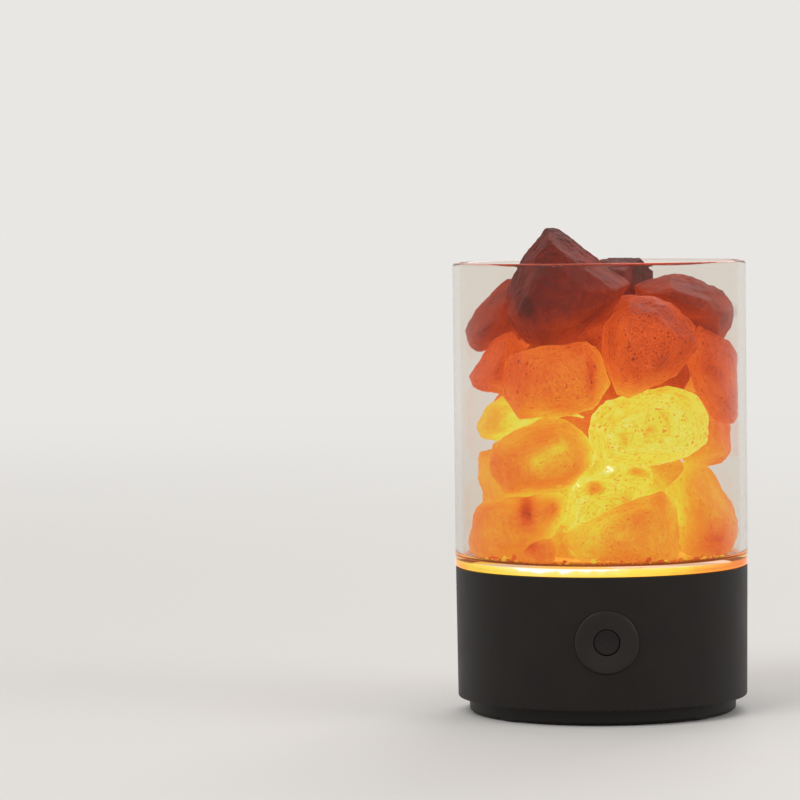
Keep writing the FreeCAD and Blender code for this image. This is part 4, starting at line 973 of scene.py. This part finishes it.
@dataclass
class SaltPile:
    """All stones and the crumbs that they shed."""

    cup: GlassCup
    crumbs: int = 170
    crumb_arc: tuple[float, float] = (-166.0, -14.0)   # degrees about the axis
    crumb_least: float = 0.16    # mm, half the size of the smallest
    crumb_spread: float = 0.5    # mm, how much more the largest has
    crumb_bend: float = 0.28     # share by which corners are pushed about
    crumb_strip: float = 5.0     # mm, how far in from the wall they lie

    def stones(self) -> list[SaltStone]:
        """The stones, from the crown down and then those at the back."""
        rear = 36
        return [
            SaltStone("stone_crown", Glow.EMBER, 0.35, 0.2, body="crown_stone", marks=(
                GlowSpot(-19.6, 68.9, 2.0, 2.6, -0.12), GlowSpot(-23.0, 74.0, 3.0, 10.0, -0.04))),
            SaltStone("stone_upper_left", Glow.WARM, 1.0, 0.5, marks=(
                GlowSpot(-3.2, 50.3, 1.2, 5.0, -0.2), GlowSpot(-7.7, 57.9, 3.5, 1.6, -0.08),
                GlowSpot(-13.0, 51.0, 6.0, 5.0, 0.04),
                GlowSpot(-24.0, 52.0, 5.0, 8.0, -0.07))),
            SaltStone("stone_upper_centre", Glow.RED, 0.9, 0.5, marks=(
                GlowSpot(7.0, 45.5, 6.0, 5.0, 0.12), GlowSpot(16.5, 53.6, 2.4, 2.0, -0.1),
                GlowSpot(9.8, 68.0, 9.0, 4.0, -0.02), GlowSpot(11.0, 62.0, 8.0, 6.0, 0.05))),
            SaltStone("stone_middle_left", Glow.ORANGE, 0.5, 0.5, marks=(
                GlowSpot(-17.5, 27.5, 3.5, 3.5, 0.12), GlowSpot(-12.5, 31.5, 3.5, 2.5, 0.13),
                GlowSpot(-16.5, 30.5, 4.0, 3.0, 0.06), GlowSpot(-8.0, 25.8, 3.0, 2.4, -0.05),
                GlowSpot(-17.0, 21.5, 5.0, 2.0, -0.05))),
            SaltStone("stone_wedge", Glow.AMBER, 0.6, 0.4, marks=(
                GlowSpot(-2.8, 6.9, 5.0, 3.0, 0.03), GlowSpot(4.0, 16.5, 9.0, 3.2, -0.08),
                GlowSpot(6.5, 0.4, 12.0, 2.2, -0.05), GlowSpot(-9.6, 1.4, 1.6, 1.4, 0.2),
                GlowSpot(14.7, 18.3, 3.0, 2.6, -0.14), GlowSpot(3.9, 8.1, 3.0, 2.0, 0.06))),
            SaltStone("stone_bottom_right", Glow.ORANGE, 0.5, 0.4, marks=(
                GlowSpot(24.6, 13.3, 2.0, 2.4, -0.06), GlowSpot(23.0, 12.0, 7.0, 6.0, 0.03),
                GlowSpot(30.2, 3.5, 4.5, 4.0, -0.15))),
            SaltStone("stone_bottom_left", Glow.ORANGE, 0.4, 0.3, marks=(
                GlowSpot(-20.5, 14.0, 2.0, 3.6, -0.34), GlowSpot(-13.6, 14.4, 3.6, 3.4, -0.12),
                GlowSpot(-22.0, 18.0, 5.0, 2.0, -0.08))),
            SaltStone("stone_chip", Glow.WARM, 0.3, 0.2, marks=(
                GlowSpot(-19.8, 5.6, 1.8, 2.0, -0.2), GlowSpot(-24.0, 4.8, 2.2, 0.7, 0.2),
                GlowSpot(-19.5, 7.6, 2.6, 0.7, 0.26), GlowSpot(-15.5, 8.9, 2.2, 0.7, 0.26))),
            SaltStone("stone_glowing", Glow.BRIGHT, 0.7, 0.7, brightest=0.94, marks=(
                GlowSpot(12.4, 35.5, 1.8, 1.8, -0.09), GlowSpot(5.6, 33.4, 1.4, 3.4, -0.07),
                GlowSpot(26.0, 37.0, 6.0, 7.0, 0.1))),
            SaltStone("stone_slab", Glow.BRIGHT, 0.8, 0.8, brightest=0.94, marks=(
                GlowSpot(-1.9, 19.6, 2.8, 2.2, -0.2), GlowSpot(9.0, 23.6, 3.4, 1.5, -0.2))),
            SaltStone("stone_lobe", Glow.RED, 0.6, 0.3),
            SaltStone("stone_upper_right", Glow.RED, 0.8, 0.5),
            SaltStone("stone_top_left", Glow.DIM, 0.2, 0.1, body="top_left_stone"),
            SaltStone("stone_top_right", Glow.DIM, 0.3, 0.2, body="top_right_stone"),
            SaltStone("stone_left_glow", Glow.GOLD, 0.2, 0.2, marks=(
                GlowSpot(-12.0, 41.0, 6.0, 5.0, -0.16),)),
            SaltStone("stone_left_low", Glow.ORANGE, 0.2, 0.2),
            SaltStone("stone_right_rear", Glow.WARM, 0.3, 0.3, marks=(
                GlowSpot(33.0, 35.0, 8.0, 10.0, -0.08),)),
            SaltStone("stone_top_rear", Glow.SHADED, 0.3, 0.2, body="top_rear_stone"),
            SaltStone("stone_rear_floor_left", Glow.AMBER, cells=rear),
            SaltStone("stone_rear_floor_right", Glow.AMBER, cells=rear),
            SaltStone("stone_rear_middle_left", Glow.WARM, cells=rear),
            SaltStone("stone_rear_middle_right", Glow.WARM, cells=rear),
            SaltStone("stone_rear_upper_left", Glow.RED, cells=rear),
            SaltStone("stone_rear_upper_right", Glow.RED, cells=rear),
        ]

    def crumb_points(self, draw: np.random.Generator) -> tuple[np.ndarray, np.ndarray]:
        """Corners and warmth of the crumbs.

        Formula: each is a unit cube with its corners pushed about, stretched, turned by a random
        rotation (the orthogonal part of a random matrix) and set down on the floor near the wall.
        """
        count = self.crumbs
        cube = np.array([[x, y, z] for x in (-1, 1) for y in (-1, 1) for z in (-1, 1)], float)
        shapes = cube + draw.normal(scale=self.crumb_bend, size=(count, 8, 3))
        size = self.crumb_least + self.crumb_spread * draw.random(count) ** 3
        shapes *= (size[:, None] * draw.uniform(0.6, 1.2, (count, 3)))[:, None, :]
        rotations = np.linalg.qr(draw.normal(size=(count, 3, 3)))[0]
        rotations[np.linalg.det(rotations) < 0, :, 0] *= -1
        shapes = np.einsum("nij,nkj->nki", rotations, shapes)
        turn = np.radians(draw.uniform(*self.crumb_arc, count))
        reach = self.cup.bore - self.cup.inner_corner - size * 1.3
        reach -= self.crumb_strip * draw.random(count) ** 2
        low = shapes[:, :, 2].min(axis=1)
        places = np.stack([reach * np.cos(turn), reach * np.sin(turn), self.cup.floor_top - low], axis=1)
        warmth = np.repeat(draw.uniform(0.5, 0.9, count), 8)
        return (shapes + places[:, None, :]).reshape(-1, 3), warmth

    def build_crumbs(self, salt: bpy.types.Material) -> None:
        """Scatter the crumbs along the front of the cup's floor."""
        points, warmth = self.crumb_points(np.random.default_rng(71))
        side = np.array([[0, 1, 3, 2], [4, 6, 7, 5], [0, 4, 5, 1], [2, 3, 7, 6], [0, 2, 6, 4], [1, 5, 7, 3]])
        quads = (side[None] + 8 * np.arange(self.crumbs)[:, None, None]).reshape(-1, 4)
        piece = mesh_object("salt_crumb_scatter", points, quads, smooth=False)
        set_attribute(piece, "warmth", warmth)
        set_attribute(piece, "edge", np.zeros(len(points)))
        set_attribute(piece, "speck", np.zeros(len(points)))
        set_attribute(piece, "vein", np.zeros(len(points)))
        piece.data.materials.append(salt)
        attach(piece, "lamp")
        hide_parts("salt_crumbs")
        log.info("salt_crumb_scatter: %d crumbs", self.crumbs)

    def build(self) -> None:
        """Make all of it from one salt."""
        salt = RockSalt("salt").material()
        salt.cycles.emission_sampling = "NONE"
        stones = self.stones()
        for number, stone in enumerate(stones, start=1):
            stone.build(number, salt, self.cup)
        LodgedBits(self.cup, stones).build(salt)
        self.build_crumbs(salt)


# ---- the base ---------------------------------------------------------------------------------

@dataclass
class Base:
    """The black base, its button and what it holds: CAD nodes as they are, in their own finishes."""

    finishes: tuple[Finish, ...] = FINISHES

    def build(self) -> None:
        """Give each carried-over CAD node its finish, by the name of its material slot."""
        made = {finish.name: finish.material() for finish in self.finishes}
        for name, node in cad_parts.items():
            for slot in node.material_slots:
                finish = slot.material.name.split(".")[0]
                if finish in made:
                    slot.material = made[finish]
            log.info("%s: %s", name, ", ".join(slot.material.name for slot in node.material_slots))


# ---- studio and camera ------------------------------------------------------------------------

@dataclass
class Studio:
    """Pale floor and backdrop, with soft light at a plain level."""

    floor_radius: float = 3.0
    fade_start: float = 0.25
    fade_end: float = 1.6
    pale: str = "#E9E7E4"
    ambient: float = 0.62        # share of the backdrop's brightness that lights the object

    def floor(self) -> None:
        """A round pale floor. Far out it takes the backdrop's own brightness, so no horizon shows."""
        made = bpy.data.materials.new("studio_floor")
        made.use_nodes = True
        tree = made.node_tree
        shader = tree.nodes["Principled BSDF"]
        shader.inputs["Base Color"].default_value = linear(self.pale)
        shader.inputs["Roughness"].default_value = 0.7
        place = add_node(tree, "ShaderNodeTexCoord").outputs["Object"]
        distance = add_node(tree, "ShaderNodeVectorMath", {0: place}, operation="LENGTH")
        fade = add_node(tree, "ShaderNodeMapRange",
                        {"Value": distance.outputs["Value"], 1: self.fade_start, 2: self.fade_end},
                        interpolation_type="SMOOTHSTEP")
        glow = add_node(tree, "ShaderNodeEmission", {"Color": linear(self.pale), "Strength": 1.0})
        mix = add_node(tree, "ShaderNodeMixShader",
                       {0: fade.outputs[0], 1: shader.outputs[0], 2: glow.outputs[0]})
        tree.links.new(mix.outputs[0], tree.nodes["Material Output"].inputs["Surface"])
        made.cycles.emission_sampling = "NONE"
        turn = np.linspace(0, 2 * np.pi, 96, endpoint=False)
        points = np.column_stack([np.cos(turn), np.sin(turn), np.zeros(96)]) * self.floor_radius / MM
        floor = mesh_object("studio_floor", points, np.arange(96)[None, :])
        floor.data.materials.append(made)

    def backdrop(self) -> None:
        """Pale surroundings that light the lamp softly and show behind it."""
        world = bpy.data.worlds.new("studio")
        bpy.context.scene.world = world
        world.use_nodes = True
        tree = world.node_tree
        path = add_node(tree, "ShaderNodeLightPath")
        seen = path.outputs["Is Camera Ray"]
        for kind in ("Is Transmission Ray", "Is Glossy Ray"):
            seen = add_node(tree, "ShaderNodeMath", {0: seen, 1: path.outputs[kind]},
                            operation="MAXIMUM").outputs[0]
        strength = add_node(tree, "ShaderNodeMapRange", {"Value": seen, 3: self.ambient, 4: 1.0})
        background = tree.nodes["Background"]
        background.inputs["Color"].default_value = linear(self.pale)
        tree.links.new(strength.outputs[0], background.inputs["Strength"])

    def lamp(self, name: str, place: tuple[float, float, float], size: float, power: float) -> None:
        """One square soft box that looks at the object's middle."""
        light = bpy.data.lights.new(name, "AREA")
        light.size = size
        light.energy = power
        made = bpy.data.objects.new(name, light)
        made.location = place
        aim = Vector((0.0, 0.0, 0.06)) - Vector(place)
        made.rotation_euler = aim.to_track_quat("-Z", "Y").to_euler()
        bpy.context.scene.collection.objects.link(made)

    def build(self) -> None:
        """Set the floor, the backdrop and the soft boxes."""
        self.floor()
        self.backdrop()
        self.lamp("key_light", (-1.0, -1.1, 1.5), 1.0, 14.0)
        self.lamp("fill_light", (1.4, -0.7, 0.9), 0.9, 5.0)
        self.lamp("rear_light", (0.5, 1.5, 1.2), 0.9, 7.0)
        bpy.context.scene.view_settings.view_transform = "Standard"


@dataclass
class PhotoCamera:
    """The photograph's viewpoint, fitted to the base's and the cup's round edges."""

    distance: float = 1.1        # m, from the lamp's axis
    height: float = 0.1405       # m
    azimuth: float = 0.0305      # rad, how far the camera stands to the left of straight ahead
    heading: float = -0.01927    # rad, the way it looks, from +Y towards +X
    pitch: float = 0.04989       # rad, downwards
    roll: float = -0.0116        # rad
    lens: float = 180.9          # mm on a 36 mm sensor

    def build(self) -> None:
        """Place the camera: its axes are the turned right, up and backward directions."""
        right = Vector((math.cos(self.heading), -math.sin(self.heading), 0.0))
        ahead = Vector((math.sin(self.heading) * math.cos(self.pitch),
                        math.cos(self.heading) * math.cos(self.pitch), -math.sin(self.pitch)))
        up = right.cross(ahead)
        turned_right = right * math.cos(self.roll) + up * math.sin(self.roll)
        turned_up = up * math.cos(self.roll) - right * math.sin(self.roll)
        data = bpy.data.cameras.new("photo_camera")
        data.lens = self.lens
        camera = bpy.data.objects.new("photo_camera", data)
        axes = Matrix((turned_right, turned_up, -ahead)).transposed().to_4x4()
        place = Vector((-math.sin(self.azimuth) * self.distance,
                        -math.cos(self.azimuth) * self.distance, self.height))
        camera.matrix_world = Matrix.Translation(place) @ axes
        bpy.context.scene.collection.objects.link(camera)
        bpy.context.scene.camera = camera


def main() -> None:
    """Build the studio, the camera and the lamp's sub-assemblies."""
    Studio().build()
    PhotoCamera().build()
    Base().build()
    cup = GlassCup()
    cup.build()
    SaltPile(cup).build()


if __name__ == "__main__":
    main()
